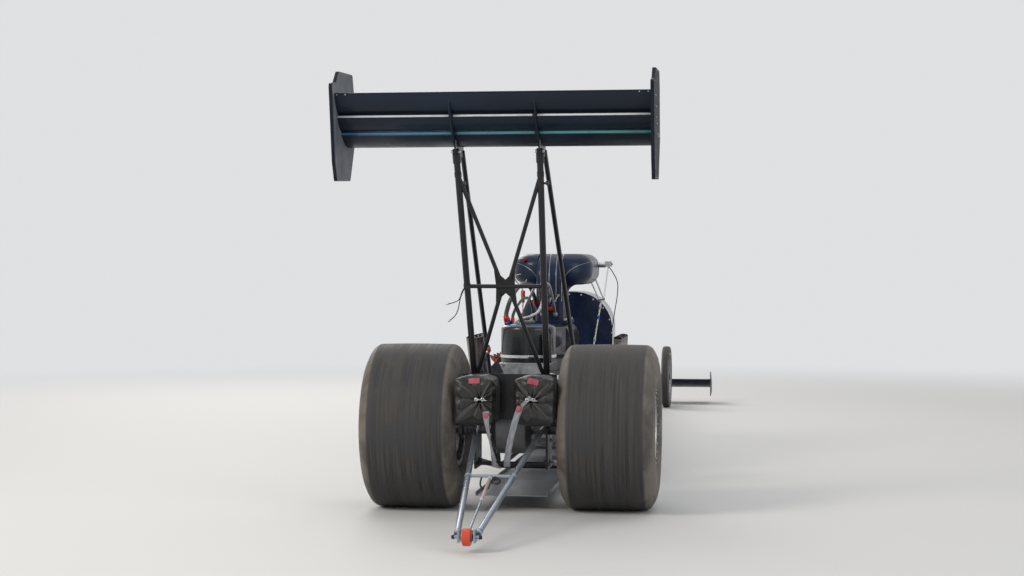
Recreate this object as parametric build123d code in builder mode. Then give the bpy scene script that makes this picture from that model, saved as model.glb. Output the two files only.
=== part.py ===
from build123d import *
import os
from math import cos, radians, sin, sqrt, tan

os.makedirs("parts", exist_ok=True)

# A supercharged rear-engined drag racing car, in millimetres. X points right, Y forward and Z
# up, from the ground under the middle of the car's whole length. Places are given as X, the
# distance in front of the rear axle, and the height.
wheelbase = 7620
ground_clearance = 76
fit_gap = 0.05
panel_gap = 0.5
sheet_thickness = 5

# Rear wheels, their shaft and brakes
rear_tyre_radius = 450
rear_wheel_x = 532
rear_tyre_half_width = 261
rear_tread_half_width = 200
rear_tyre_wall = 12
rear_rim_radius = 203
rear_rim_half_width = 222
rear_flange_height = 17
rear_flange_thickness = 8
wheel_disc_offset = 60
wheel_disc_thickness = 12
lightening_circle_radius = 142
axle_radius = 28
axle_overhang = 36
hub_flange_radius = 82
hub_flange_thickness = 14
hub_barrel_radius = 48
brake_disc_x = 322
brake_disc_radius = 150
brake_disc_thickness = 20
brake_air_gap = 5
housing_radius = 45
housing_half_length = 300
drum_radius = 150
drum_half_width = 110
pinion_radius = 88

# Front wheels and steering
front_tyre_radius = 285
front_wheel_x = 443
front_tyre_half_width = 37
front_tread_half_width = 24
front_tyre_wall = 6
front_rim_radius = 214
front_rim_half_width = 30
front_flange_height = 9
front_flange_thickness = 3
hub_radius = 32
spindle_radius = 12.5
kingpin_x = 370
kingpin_radius = 8
axle_beam_radius = 22
axle_beam_z = 262
axle_eye_radius = 22
axle_eye_height = 60
knuckle_gap = 5
knuckle_plate = 11
knuckle_reach = 36
steering_arm_reach = 120
steering_arm_half_width = 12
tie_rod_z = 240
tie_rod_radius = 6
tie_rod_eye_radius = 12
tie_rod_eye_height = 14
tie_rod_pin_radius = 5
open_pivot_clearance = 1

# Body: the nose follows the front axle, and the tub follows the engine
skin = 8
nose_overhang = 821
nose_joint_overhang = 380
nose_break_setback = 420
tub_front_y = 3950
tub_rear_y = 2740
tub_half_width = 330
tub_height = 720
cockpit_front_y = 3620
cockpit_rear_y = 2900
cockpit_half_width = 215
shroud_rear_y = 2700
shroud_front_y = 3150
cage_radius = 19
hoop_x = 286
hoop_height = 1110
shroud_over_hoop = 42

# Drive train
crank_drop = 20
engine_rear_y = 1500
engine_length = 630
bore_pitch = 150
deck_height = 245
deck_half_width = 95
head_width = 210
head_height = 110
cover_inset = 12
cover_height = 75
blower_rise = 315
blower_height = 215
blower_half_width = 145
blower_length = 550
hat_neck_half_width = 88
hat_neck_length = 330
hat_neck_setback = 180
hat_reach = 360
hat_mouth_width = 172
hat_mouth_height = 200
hat_mouth_rise = 345
hat_flare = 68
hat_recess = 40
hat_lip = 6
throttle_thickness = 8
header_radius = 28
header_wall = 2
crank_pulley_radius = 92
blower_pulley_radius = 78
belt_width = 76
belt_thickness = 10
belt_gap = 10
starter_snout_radius = 20
starter_snout_length = 40
clutch_can_radius = 232
clutch_can_length = 327
reverser_radius = 105
coupler_radius = 62
tank_y = 650
tank_radius = 158
tank_rise = 340
tank_height = 215

# Frame
rail_radius = 16
brace_radius = 11
plate_x = 190
plate_thickness = 12
plate_rear_y = -125
plate_front_y = 85
pan_half_width = 198
pan_edge_height = 22
motor_plate_half_width = 300
motor_plate_thickness = 8

# Rear wing and the struts that carry it
wing_z = 1988
wing_half_span = 803
end_plate_thickness = 18
strut_x = 218
strut_top_drop = 58
rear_strut_radius = 17
front_strut_radius = 13
bracket_thickness = 8
brace_z = 1220
brace_top_z = 1800
brace_plate_thickness = 10

# Braking parachutes and anti-wheelie bar
pack_floor_z = 482
pack_front_y = -168
pack_corner = 40
strap_width = 34
strap_thickness = 4
wheelie_wheel_y = -1665
wheelie_wheel_z = 73
wheelie_wheel_radius = 42
wheelie_wheel_half_width = 20
wheelie_bar_radius = 15
wheelie_pin_radius = 8
wheelie_cheek_x = 34

# Places that follow from these sizes
nose_tip_y = wheelbase + nose_overhang
nose_joint_y = wheelbase + nose_joint_overhang
nose_break_y = wheelbase - nose_break_setback
rear_axle_y = (wheelie_wheel_radius - wheelie_wheel_y - nose_tip_y) / 2
axle_z = rear_tyre_radius
crank_z = axle_z - crank_drop
engine_front_y = engine_rear_y + engine_length
blower_rear_y = engine_rear_y + 60
blower_front_y = blower_rear_y + blower_length
blower_floor_z = crank_z + blower_rise
hat_floor_z = blower_floor_z + blower_height
hat_mouth_z = hat_floor_z + hat_mouth_rise
shroud_height = hoop_height + shroud_over_hoop
tank_floor_z = crank_z + tank_rise
tank_top_z = tank_floor_z + tank_height
strut_top_z = wing_z - strut_top_drop
steering_arm_y = wheelbase - steering_arm_reach


def at(place):
    """A place given as X, distance in front of the rear axle and height, in the car's own frame."""
    x, forward, z = place
    return Vector(x, rear_axle_y + forward, z)


def flip(side, place):
    """The place on the left (-1) or the right (1) of the car."""
    x, forward, z = place
    return (side * x, forward, z)


def along(start, end, share):
    """The place this share of the way from start to end."""
    return tuple(a + (b - a) * share for a, b in zip(start, end))


def across(forward):
    """Plane square to the car's length, seen from behind, this far in front of the rear axle."""
    return Plane(origin=at((0, forward, 0)), x_dir=(1, 0, 0), z_dir=(0, -1, 0))


def lengthwise(x, z=0):
    """Plane along the car's length at this X. Its own X is the distance in front of the rear axle."""
    return Plane(origin=at((x, 0, z)), x_dir=(0, 1, 0), z_dir=(1, 0, 0))


def bar(start, end, radius, mode=Mode.ADD):
    """Round bar between two places, in the part that is being built."""
    span = at(end) - at(start)
    with BuildSketch(Plane(origin=at(start), z_dir=span)) as profile:
        Circle(radius)
    extrude(profile.sketch, amount=span.length, mode=mode)


def crossbar(half_length, forward, z, radius, mode=Mode.ADD):
    """Round bar across the car, as long to the left as to the right."""
    bar((-half_length, forward, z), (half_length, forward, z), radius, mode)


def disc(centre, direction, radius, thickness, mode=Mode.ADD):
    """Round plate that starts at its centre place and grows along its direction."""
    with BuildSketch(Plane(origin=at(centre), z_dir=direction)) as profile:
        Circle(radius)
    extrude(profile.sketch, amount=thickness, mode=mode)


def block(low, high, mode=Mode.ADD):
    """Box between two corners."""
    size = at(high) - at(low)
    with Locations((at(low) + at(high)) / 2):
        Box(size.X, size.Y, size.Z, mode=mode)


def side_block(side, x, forward, z, mode=Mode.ADD):
    """Box on the left (-1) or the right (1) of the car, from its ranges of X, forward and height."""
    left, right = sorted((side * x[0], side * x[1]))
    block((left, forward[0], z[0]), (right, forward[1], z[1]), mode)


def tube(places, radius, wall=0):
    """Tube along straight runs joined by arcs as large as the runs allow, solid if it has no wall."""
    points = [at(place) for place in places]
    runs = [end - start for start, end in zip(points[:-1], points[1:])]
    bends = []
    for before, after in zip(runs[:-1], runs[1:]):
        half_turn = radians(before.get_angle(after)) / 2
        bends.append(0.45 * min(before.length, after.length) / tan(half_turn))
    with BuildLine() as route:
        FilletPolyline(*points, radius=bends)
    with BuildSketch(Plane(origin=route.line @ 0, z_dir=route.line % 0)) as section:
        Circle(radius)
        if wall:
            Circle(radius - wall, mode=Mode.SUBTRACT)
    sweep(section.sketch, path=route.line)


def write(piece, label):
    piece.part.label = label
    export_step(piece.part, f"parts/{label}.step")


def body_form(sections, inset=0, mode=Mode.ADD):
    """Straight-sided body between rounded cross-sections: forward, half width, height, corner."""
    placed = []
    for forward, half_width, height, corner in sections:
        with BuildSketch(across(forward)) as section:
            with Locations((0, (ground_clearance + height) / 2)):
                RectangleRounded(
                    2 * (half_width - inset), height - ground_clearance - 2 * inset, corner - inset
                )
        placed.append(section.sketch)
    loft(placed, ruled=True, mode=mode)


# Nose, with a hole each side for the axle beam and for the tie rod
nose_sections = (
    (nose_joint_y, 120, 270, 50),
    (nose_break_y, 162, 362, 60),
    (tub_front_y + 1550, 212, 480, 70),
    (tub_front_y, 268, 612, 80),
)
nose_joint = nose_sections[0]
tie_rod_hole_radius = 22
with BuildPart() as nose_body:
    body_form(nose_sections)
    body_form([(nose_joint_y - 40, *nose_joint[1:]), *nose_sections[1:]], skin, Mode.SUBTRACT)
    crossbar(kingpin_x, wheelbase, axle_beam_z, axle_beam_radius + panel_gap, Mode.SUBTRACT)
    crossbar(kingpin_x, steering_arm_y, tie_rod_z, tie_rod_hole_radius, Mode.SUBTRACT)
write(nose_body, "nose_body")

# Nose cone: half width, low, high and corner of each section, from the joint to the blunt tip
with BuildPart() as nose_cone:
    cone_sections = (
        (nose_joint_y, nose_joint[1], ground_clearance, nose_joint[2], nose_joint[3]),
        (nose_joint_y + 300, 94, 100, 238, 50),
        (nose_tip_y, 52, 140, 196, 24),
    )
    placed = []
    for forward, half_width, low, high, corner in cone_sections:
        with BuildSketch(across(forward)) as section:
            with Locations((0, (low + high) / 2)):
                RectangleRounded(2 * half_width, high - low, corner)
        placed.append(section.sketch)
    loft(placed)
write(nose_cone, "nose_cone")

# Cockpit tub, open at the top over the driver
tub_sections = (
    (tub_front_y, 268, 612, 80),
    (3400, tub_half_width - 8, tub_height - 20, 90),
    (tub_rear_y, tub_half_width, tub_height, 90),
)
with BuildPart() as tub_form:
    body_form(tub_sections)

# Roll cage: places on the right, joined by straight bars
hoop_y = tub_rear_y + 45
hoop_shoulder_z = hoop_height - 205
hoop_foot_z = ground_clearance + skin
hoop_joint, hoop_crown = (hoop_x, hoop_y, 560), (110, hoop_y, hoop_height - 3)
head_corner, elbow, cage_foot = (150, 3040, hoop_height - 15), (262, 3330, 560), (225, 3940, 500)

with BuildPart() as cockpit_tub:
    body_form(tub_sections)
    body_form([*tub_sections[:2], (tub_rear_y + skin, *tub_sections[2][1:])], skin, Mode.SUBTRACT)
    with BuildSketch(Plane.XY.offset(tub_height - 220)):
        with Locations(at((0, (cockpit_front_y + cockpit_rear_y) / 2, 0))):
            RectangleRounded(2 * cockpit_half_width, cockpit_front_y - cockpit_rear_y, 120)
    extrude(amount=400, mode=Mode.SUBTRACT)
    for side in (-1, 1):
        bar(flip(side, head_corner), flip(side, elbow), cage_radius + panel_gap, Mode.SUBTRACT)
        shoulder = (hoop_x, hoop_y, hoop_shoulder_z)
        bar(flip(side, hoop_joint), flip(side, shoulder), cage_radius + panel_gap, Mode.SUBTRACT)
write(cockpit_tub, "cockpit_tub")

# Windscreen: a low curved sheet around the front of the cockpit's opening
screen_radius, screen_sheet, screen_lean = 235, 4, 14
screen_y, screen_foot_z, screen_height = cockpit_front_y - 140, tub_height - 120, 205
with BuildPart() as windscreen:
    for radius, mode in ((screen_radius, Mode.ADD), (screen_radius - screen_sheet, Mode.SUBTRACT)):
        with BuildSketch(Plane.XY.offset(screen_foot_z)):
            with Locations(at((0, screen_y, 0))):
                Circle(radius)
        extrude(amount=screen_height, taper=screen_lean, mode=mode)
    block((-300, screen_y - 380, 500), (300, screen_y + 20, 900), Mode.SUBTRACT)
    add(tub_form.part, mode=Mode.SUBTRACT)
write(windscreen, "windscreen")


def arch(forward, half_width, crown_z, corner, inset=0, floor_z=640):
    """Arched cross-section, flat at the foot and round at the shoulders."""
    side, top = half_width - inset, crown_z - inset
    shoulder = corner - inset
    with BuildSketch(across(forward)) as section:
        with BuildLine():
            Polyline((-side, top - shoulder), (-side, floor_z), (side, floor_z), (side, top - shoulder))
            RadiusArc((side, top - shoulder), (side - shoulder, top), -shoulder)
            Line((side - shoulder, top), (shoulder - side, top))
            RadiusArc((shoulder - side, top), (-side, top - shoulder), -shoulder)
        make_face()
    return section.sketch


# Shroud behind and over the driver's head, open to the front and cut back at its sides
shroud_rear_corner, shroud_front_corner = 262, 250
with BuildPart() as cage_shroud:
    outside = [
        arch(shroud_rear_y, tub_half_width, shroud_height, shroud_rear_corner),
        arch(shroud_front_y, tub_half_width - 12, shroud_height - 2, shroud_front_corner),
    ]
    inside = [
        arch(shroud_rear_y + skin, tub_half_width, shroud_height, shroud_rear_corner, skin, 600),
        arch(shroud_front_y + 10, tub_half_width - 12, shroud_height - 2, shroud_front_corner, skin, 600),
    ]
    loft(outside, ruled=True)
    loft(inside, ruled=True, mode=Mode.SUBTRACT)
    with BuildSketch(lengthwise(-tub_half_width - 100)):
        with BuildLine():
            Polyline(
                (shroud_front_y + 1, 700),
                (shroud_rear_y + 200, 700),
                (shroud_front_y - 90, shroud_height - 152),
                (shroud_front_y - 20, shroud_height + 48),
                (shroud_front_y + 1, shroud_height + 48),
                close=True,
            )
        make_face()
    extrude(amount=2 * tub_half_width + 200, mode=Mode.SUBTRACT)
    add(tub_form.part, mode=Mode.SUBTRACT)
write(cage_shroud, "cage_shroud")

with BuildPart() as roll_cage:
    with BuildLine(across(hoop_y)) as hoop:
        FilletPolyline(
            (-hoop_x, hoop_foot_z),
            (-hoop_x, hoop_shoulder_z),
            (175 - hoop_x, hoop_height),
            (hoop_x - 175, hoop_height),
            (hoop_x, hoop_shoulder_z),
            (hoop_x, hoop_foot_z),
            radius=110,
        )
    with BuildSketch(Plane(origin=hoop.line @ 0, z_dir=hoop.line % 0)):
        Circle(cage_radius)
    sweep(path=hoop.line)
    for side in (-1, 1):
        bar(flip(side, hoop_crown), flip(side, head_corner), cage_radius)
        with Locations(at(flip(side, head_corner))):
            Sphere(cage_radius)
    crossbar(head_corner[0], *head_corner[1:], cage_radius)
    crossbar(hoop_x, hoop_y, 660, cage_radius)
    add(cockpit_tub.part, mode=Mode.SUBTRACT)
write(roll_cage, "roll_cage")

# Bars along the cockpit's sides, welded to the hoop behind and the head bars above
with BuildPart() as cage_side_bars:
    for side in (-1, 1):
        for start, end in ((head_corner, elbow), (hoop_joint, elbow), (elbow, cage_foot)):
            bar(flip(side, start), flip(side, end), cage_radius)
        with Locations(at(flip(side, elbow))):
            Sphere(cage_radius)
    for piece in (cockpit_tub, roll_cage):
        add(piece.part, mode=Mode.SUBTRACT)
write(cage_side_bars, "cage_side_bars")

# Seat: a one-piece bucket with raised sides
seat_half_width, seat_side_thickness = 200, 14
seat_front_y, seat_back_y = 3340, 2840
seat_front, seat_low, seat_top = (seat_front_y, 260), (3000, 150), (seat_back_y + 50, 640)
seat_profile = (
    (seat_front_y, ground_clearance + skin),
    seat_front,
    seat_low,
    seat_top,
    (seat_back_y, 640),
    (seat_back_y + 60, ground_clearance + skin),
)
seat_side = (seat_front, (seat_front_y, 330), (3090, 300), (2960, 560), seat_top, seat_low)
with BuildPart() as seat:
    for outline, start_x, width in (
        (seat_profile, -seat_half_width, 2 * seat_half_width),
        (seat_side, -seat_half_width, seat_side_thickness),
        (seat_side, seat_half_width - seat_side_thickness, seat_side_thickness),
    ):
        with BuildSketch(lengthwise(start_x)):
            with BuildLine():
                Polyline(*outline, close=True)
            make_face()
        extrude(amount=width)
write(seat, "seat")

# Steering column, carried by a bar between the cage's side bars, and a butterfly steering wheel
column_tilt = 20
column_radius, column_length = 10, 520
column_support_y = 3700
wheel_boss = at((0, 3440, 545))
column_way = Vector(0, cos(radians(column_tilt)), -sin(radians(column_tilt)))
support_share = (column_support_y - elbow[1]) / (cage_foot[1] - elbow[1])
support_x, _, support_z = along(elbow, cage_foot, support_share)
column_z = 545 - (column_support_y - 3440) * tan(radians(column_tilt))
with BuildPart() as steering_column:
    with BuildSketch(Plane(origin=wheel_boss, z_dir=column_way)):
        Circle(column_radius)
    extrude(amount=column_length)
    with BuildSketch(Plane(origin=wheel_boss + column_way * 60, z_dir=column_way)):
        Circle(24)
    extrude(amount=30)
    block((-20, column_support_y - 6, column_z - 14), (20, column_support_y + 6, support_z + 7))
    crossbar(support_x, column_support_y, support_z, 12)
    add(cage_side_bars.part, mode=Mode.SUBTRACT)
write(steering_column, "steering_column")

wheel_plane = Plane(origin=wheel_boss, x_dir=(1, 0, 0), z_dir=-column_way)
with BuildPart() as steering_wheel:
    with BuildSketch(wheel_plane.offset(-40)):
        Circle(26)
        Circle(column_radius + fit_gap, mode=Mode.SUBTRACT)
    extrude(amount=40)
    with BuildSketch(wheel_plane):
        Circle(30)
        Rectangle(230, 24)
        with Locations((-125, 0), (125, 0)):
            RectangleRounded(30, 150, 14)
    extrude(amount=22)
write(steering_wheel, "steering_wheel")

# Floor pan under the engine, with its edges turned up
pan_rear_y = -100
with BuildPart() as belly_pan:
    pan_inside_x = pan_half_width - sheet_thickness
    block(
        (-pan_half_width, pan_rear_y, ground_clearance),
        (pan_half_width, tub_rear_y, ground_clearance + sheet_thickness),
    )
    for side in (-1, 1):
        side_block(
            side,
            (pan_inside_x, pan_half_width),
            (pan_rear_y, tub_rear_y),
            (ground_clearance, ground_clearance + pan_edge_height),
        )
write(belly_pan, "belly_pan")

# Frame behind the cockpit. Columns: forward, upper x, upper z, lower x, lower z
lower_rail_z = ground_clearance + 36
frame_stations = (
    (tub_rear_y, 292, 540, 262, lower_rail_z),
    (engine_front_y + 50, 290, crank_z + 50, 240, lower_rail_z),
    (1100, 268, crank_z + 60, 232, lower_rail_z),
    (-30, plate_x, axle_z + 110, plate_x, axle_z - 188),
)
upper_rail = [(x, forward, z) for forward, x, z, _, _ in frame_stations]
lower_rail = [(x, forward, z) for forward, _, _, x, z in frame_stations]
plate_low_z, plate_top_z = axle_z - 225, axle_z + 210
chute_bar_y, chute_bar_z, strap_bar_z = -60, axle_z + 170, axle_z - 200
with BuildPart() as frame_rails:
    for side in (-1, 1):
        for rail in (upper_rail, lower_rail):
            for front, back in zip(rail[:-1], rail[1:]):
                bar(flip(side, back), flip(side, front), rail_radius)
            with Locations(*[at(flip(side, place)) for place in rail[1:3]]):
                Sphere(rail_radius)
        for start, end in (
            (upper_rail[1], lower_rail[1]),
            (upper_rail[2], lower_rail[2]),
            (lower_rail[2], upper_rail[3]),
            (lower_rail[1], upper_rail[2]),
            (lower_rail[1], upper_rail[0]),
        ):
            bar(flip(side, start), flip(side, end), brace_radius)
        side_block(
            side,
            (plate_x, plate_x + plate_thickness),
            (plate_rear_y, plate_front_y),
            (plate_low_z, plate_top_z),
        )
    crossbar(plate_x, chute_bar_y, chute_bar_z, brace_radius)
    crossbar(plate_x, chute_bar_y, strap_bar_z, brace_radius)
    crossbar(lower_rail[2][0], *lower_rail[2][1:], brace_radius)
    mid_x, mid_y, mid_z = along(upper_rail[2], upper_rail[3], 0.54)
    crossbar(mid_x, mid_y, mid_z, brace_radius)
    crossbar(housing_half_length, 0, axle_z, housing_radius + panel_gap, Mode.SUBTRACT)
    block((-400, tub_rear_y, 0), (400, tub_rear_y + 50, tub_height), Mode.SUBTRACT)
write(frame_rails, "frame_rails")

# Engine block with its sump: a V of two banks at right angles
port_reach = deck_height + head_height / 2
cover_reach = deck_height + head_height + cover_height


def bank_point(reach, spread):
    """X and Z of a point of the right bank: reach up along the bores, spread towards the exhaust."""
    return ((reach + spread) / sqrt(2), crank_z + (reach - spread) / sqrt(2))


sump_half_width, sump_drop = 112, 250
skirt_half_width, skirt_drop, skirt_step = 160, 80, 20
deck_out, deck_in = bank_point(deck_height, deck_half_width), bank_point(deck_height, -deck_half_width)
with BuildPart() as engine_block:
    with BuildSketch(across(engine_rear_y)):
        with BuildLine():
            outline = [
                (sump_half_width, crank_z - sump_drop),
                (skirt_half_width - skirt_step, crank_z - skirt_drop - skirt_step),
                (skirt_half_width, crank_z - skirt_drop),
                (skirt_half_width, crank_z + 10),
                deck_out,
                deck_in,
            ]
            Polyline(*outline, *[(-x, z) for x, z in reversed(outline)], close=True)
        make_face()
    extrude(amount=-engine_length)
write(engine_block, "engine_block")

bank_plane = Plane(origin=at((0, engine_rear_y, crank_z)), x_dir=(1, 0, -1), z_dir=(0, -1, 0))
with BuildPart() as cylinder_heads:
    with BuildSketch(bank_plane):
        with Locations((0, port_reach)):
            Rectangle(head_width, head_height)
    extrude(amount=-engine_length)
    mirror(about=Plane.YZ)
write(cylinder_heads, "cylinder_heads")

cover_overhang, cover_corner = 8, 24
with BuildPart() as rocker_covers:
    with BuildSketch(bank_plane.offset(cover_overhang)):
        with Locations((0, cover_reach - cover_height / 2)):
            Rectangle(head_width - 2 * cover_inset, cover_height)
        fillet(vertices().group_by(Axis.Y)[-1], cover_corner)
    extrude(amount=-engine_length - 2 * cover_overhang)
    mirror(about=Plane.YZ)
write(rocker_covers, "rocker_covers")

manifold_half_width, manifold_edge, manifold_inset = 84, 138, 40
with BuildPart() as intake_manifold:
    with BuildSketch(across(engine_rear_y + manifold_inset)):
        with BuildLine():
            Polyline(
                (-manifold_half_width, deck_in[1] + panel_gap),
                (manifold_half_width, deck_in[1] + panel_gap),
                (manifold_edge, blower_floor_z - 20),
                (manifold_edge, blower_floor_z),
                (-manifold_edge, blower_floor_z),
                (-manifold_edge, blower_floor_z - 20),
                close=True,
            )
        make_face()
    extrude(amount=2 * manifold_inset - 20 - engine_length)
write(intake_manifold, "intake_manifold")

# Blower: a two-lobed case on a square foot, with ribs around it
rib_count, rib_thickness, rib_reach = 9, 12, 9
rib_pitch = (blower_length - 60 - rib_thickness) / (rib_count - 1)
with BuildPart() as blower:
    with BuildSketch(across(blower_rear_y)):
        with Locations((0, blower_floor_z + blower_height / 2)):
            RectangleRounded(2 * blower_half_width, blower_height, 70)
        with Locations((0, blower_floor_z + 30)):
            Rectangle(2 * blower_half_width, 60)
    extrude(amount=-blower_length)
    for step in range(rib_count):
        with BuildSketch(across(blower_rear_y + 30 + step * rib_pitch)):
            with Locations((0, blower_floor_z + blower_height / 2)):
                RectangleRounded(2 * (blower_half_width + rib_reach), blower_height - 20, 74)
        extrude(amount=-rib_thickness)
write(blower, "blower")

# Toothed belt drive at the engine's front: two flanged pulleys, the belt and the starter's snout
belt_y = engine_front_y + belt_gap
flange_y = belt_y + belt_width
pulley_flange_thickness = 5
blower_pulley_z = blower_floor_z + blower_height / 2
pulleys = ((crank_z, crank_pulley_radius), (blower_pulley_z, blower_pulley_radius))
with BuildPart() as blower_drive:
    for z, radius in pulleys:
        disc((0, belt_y, z), (0, 1, 0), radius + 1, belt_width)
        disc((0, flange_y, z), (0, 1, 0), radius + belt_thickness + 6, pulley_flange_thickness)
    snout_y = flange_y + pulley_flange_thickness
    disc((0, snout_y, blower_pulley_z), (0, 1, 0), starter_snout_radius, starter_snout_length)
    disc((0, blower_front_y, blower_pulley_z), (0, 1, 0), 30, belt_y - blower_front_y)
    disc((0, engine_front_y, crank_z), (0, 1, 0), 30, belt_y - engine_front_y)
    with BuildSketch(across(belt_y + 2)) as belt:
        for z, radius in pulleys:
            with Locations((0, z)):
                Circle(radius + belt_thickness)
        make_hull()
        offset(amount=-belt_thickness, mode=Mode.SUBTRACT)
    extrude(belt.sketch, amount=4 - belt_width)
write(blower_drive, "blower_drive")


# Intake scoop on the blower: a trunk that bends forward, and a barrel that bends out on each side of it
neck_base_z = hat_floor_z + 22
neck_back_y = blower_rear_y + hat_neck_setback
neck_front_y = neck_back_y + hat_neck_length
hat_mouth_y = neck_front_y + hat_reach
hat_mouth_x = hat_neck_half_width + hat_mouth_width / 2 - 2
hat_top_z, hat_low_z = hat_mouth_z + hat_mouth_height / 2, hat_mouth_z - hat_mouth_height / 2
back_bend, front_bend, trunk_corner = 165, 82, 32
elbow_x = hat_mouth_x - hat_mouth_width / 2 - 4
elbow_y = neck_back_y + hat_mouth_width + 66
mouths = (
    (-hat_mouth_x, hat_mouth_width),
    (0, 2 * hat_neck_half_width - 4),
    (hat_mouth_x, hat_mouth_width),
)


def mouth_shape(x, width, forward, inset=0):
    """Rounded outline of a mouth or of its barrel, seen from behind, this far inside the lip."""
    with BuildSketch(across(forward)) as outline:
        with Locations((x, hat_mouth_z)):
            corner = min(width, hat_mouth_height) / 2 - 2 - inset
            RectangleRounded(width - 2 * inset, hat_mouth_height - 2 * inset, corner)
    return outline.sketch


with BuildPart() as hat_trunk:
    with BuildSketch(lengthwise(-hat_neck_half_width)):
        with BuildLine():
            back_top, front_low = (neck_back_y, hat_top_z - back_bend), (neck_front_y, hat_low_z - front_bend)
            Polyline(back_top, (neck_back_y, neck_base_z), (neck_front_y, neck_base_z), front_low)
            RadiusArc(front_low, (neck_front_y + front_bend, hat_low_z), front_bend)
            Polyline(
                (neck_front_y + front_bend, hat_low_z),
                (hat_mouth_y, hat_low_z),
                (hat_mouth_y, hat_top_z),
                (neck_back_y + back_bend, hat_top_z),
            )
            RadiusArc((neck_back_y + back_bend, hat_top_z), back_top, -back_bend)
        make_face()
    extrude(amount=2 * hat_neck_half_width)
    side_edges = edges().group_by(Axis.X)[0] + edges().group_by(Axis.X)[-1]
    outer_edges = side_edges.filter_by(
        lambda edge: edge.center().Z > hat_top_z - 1 or edge.center().Y < rear_axle_y + elbow_y
    )
    fillet(outer_edges.filter_by(lambda edge: edge.center().Z > neck_base_z + 1), trunk_corner)

with BuildPart() as injector_hat:
    block((-125, blower_rear_y + 80, hat_floor_z), (125, blower_front_y - 20, neck_base_z))
    add(hat_trunk.part)
    for side in (-1, 1):
        pivot = Axis(at((side * elbow_x, elbow_y, 0)), (0, 0, -side))
        barrel_end = mouth_shape(side * hat_mouth_x, hat_mouth_width, elbow_y)
        extrude(barrel_end, amount=elbow_y - hat_mouth_y)
        revolve(barrel_end, axis=pivot, revolution_arc=90)
        wall, web_x = side * hat_neck_half_width, side * (hat_neck_half_width + hat_flare)
        with BuildSketch(across(elbow_y)) as web:
            with BuildLine():
                Polyline(
                    (wall, hat_low_z - hat_flare),
                    (side * (elbow_x + 2), hat_low_z - hat_flare),
                    (side * (elbow_x + 2), hat_low_z + 20),
                    (web_x, hat_low_z + 20),
                    (web_x, hat_low_z),
                )
                RadiusArc((web_x, hat_low_z), (wall, hat_low_z - hat_flare), -side * hat_flare)
            make_face()
        extrude(web.sketch, amount=-52)
        revolve(web.sketch, axis=pivot, revolution_arc=90)
    for x, width in mouths:
        extrude(mouth_shape(x, width, hat_mouth_y, hat_lip), amount=hat_recess, mode=Mode.SUBTRACT)
write(injector_hat, "injector_hat")

# Throttle plates across the three mouths
with BuildPart() as throttle_plates:
    for x, width in mouths:
        plate = mouth_shape(x, width, hat_mouth_y - hat_recess, hat_lip + panel_gap)
        extrude(plate, amount=-throttle_thickness)
write(throttle_plates, "throttle_plates")

# Throttle linkage under and beside the right barrel: two stays, a joint, a rod and a side lever
linkage_y = hat_mouth_y - 35
barrel_side_x = hat_mouth_x + hat_mouth_width / 2
joint_z = hat_low_z - 107
stay_feet = ((262, linkage_y, joint_z), (290, linkage_y, joint_z + 8))
stay_tops = ((barrel_side_x - 49, linkage_y, hat_low_z + 10), (barrel_side_x - 20, linkage_y, hat_low_z + 31))
rod_x, rod_z = bank_point(cover_reach, 14 - head_width / 2 + cover_inset)
lever_z = hat_mouth_z + 28
with BuildPart() as throttle_linkage:
    for foot, top in zip(stay_feet, stay_tops):
        bar(foot, top, 5)
    bar((252, linkage_y, joint_z - 2), (300, linkage_y, joint_z + 8), 7)
    bar((276, linkage_y, joint_z), (rod_x, 2100, rod_z), 5)
    bar((barrel_side_x - 3, linkage_y, lever_z), (barrel_side_x + 50, linkage_y, lever_z), 17)
    block(
        (barrel_side_x + 44, linkage_y - 24, lever_z - 12),
        (barrel_side_x + 88, linkage_y + 24, lever_z + 24),
    )
    for piece in (injector_hat, throttle_plates, rocker_covers):
        add(piece.part, mode=Mode.SUBTRACT)
write(throttle_linkage, "throttle_linkage")

# Exhaust headers: four open pipes a side on square flanges, out of the heads, up and back
header_flange, header_flange_thickness = 72, 10
header_tip_x, header_tip_rise = 462, 450
header_route = (
    (bank_point(port_reach, head_width / 2), 0),
    (bank_point(port_reach, head_width / 2 + 62), 0),
    ((header_tip_x - 14, crank_z + 170), -30),
    ((header_tip_x, crank_z + header_tip_rise), -150),
)
first_port_y = engine_rear_y + (engine_length - 3 * bore_pitch) / 2
with BuildPart() as headers:
    for side in (-1, 1):
        for cylinder in range(4):
            port_y = first_port_y + cylinder * bore_pitch
            places = [flip(side, (x, port_y + y, z)) for (x, z), y in header_route]
            tube(places, header_radius, header_wall)
            port = Plane(origin=at(places[0]), z_dir=at(places[1]) - at(places[0]))
            with BuildSketch(port) as flange:
                Rectangle(header_flange, header_flange)
                Circle(header_radius - header_wall, mode=Mode.SUBTRACT)
            extrude(flange.sketch, amount=header_flange_thickness)
write(headers, "headers")

# Magneto on the front of the left head, beside the belt
magneto_z = crank_z + 170
with BuildPart() as magneto:
    disc((-190, engine_front_y, magneto_z), (0, 1, 0), 45, 70)
    disc((-190, engine_front_y + 70, magneto_z), (0, 1, 0), 60, 95)
write(magneto, "magneto")

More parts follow.
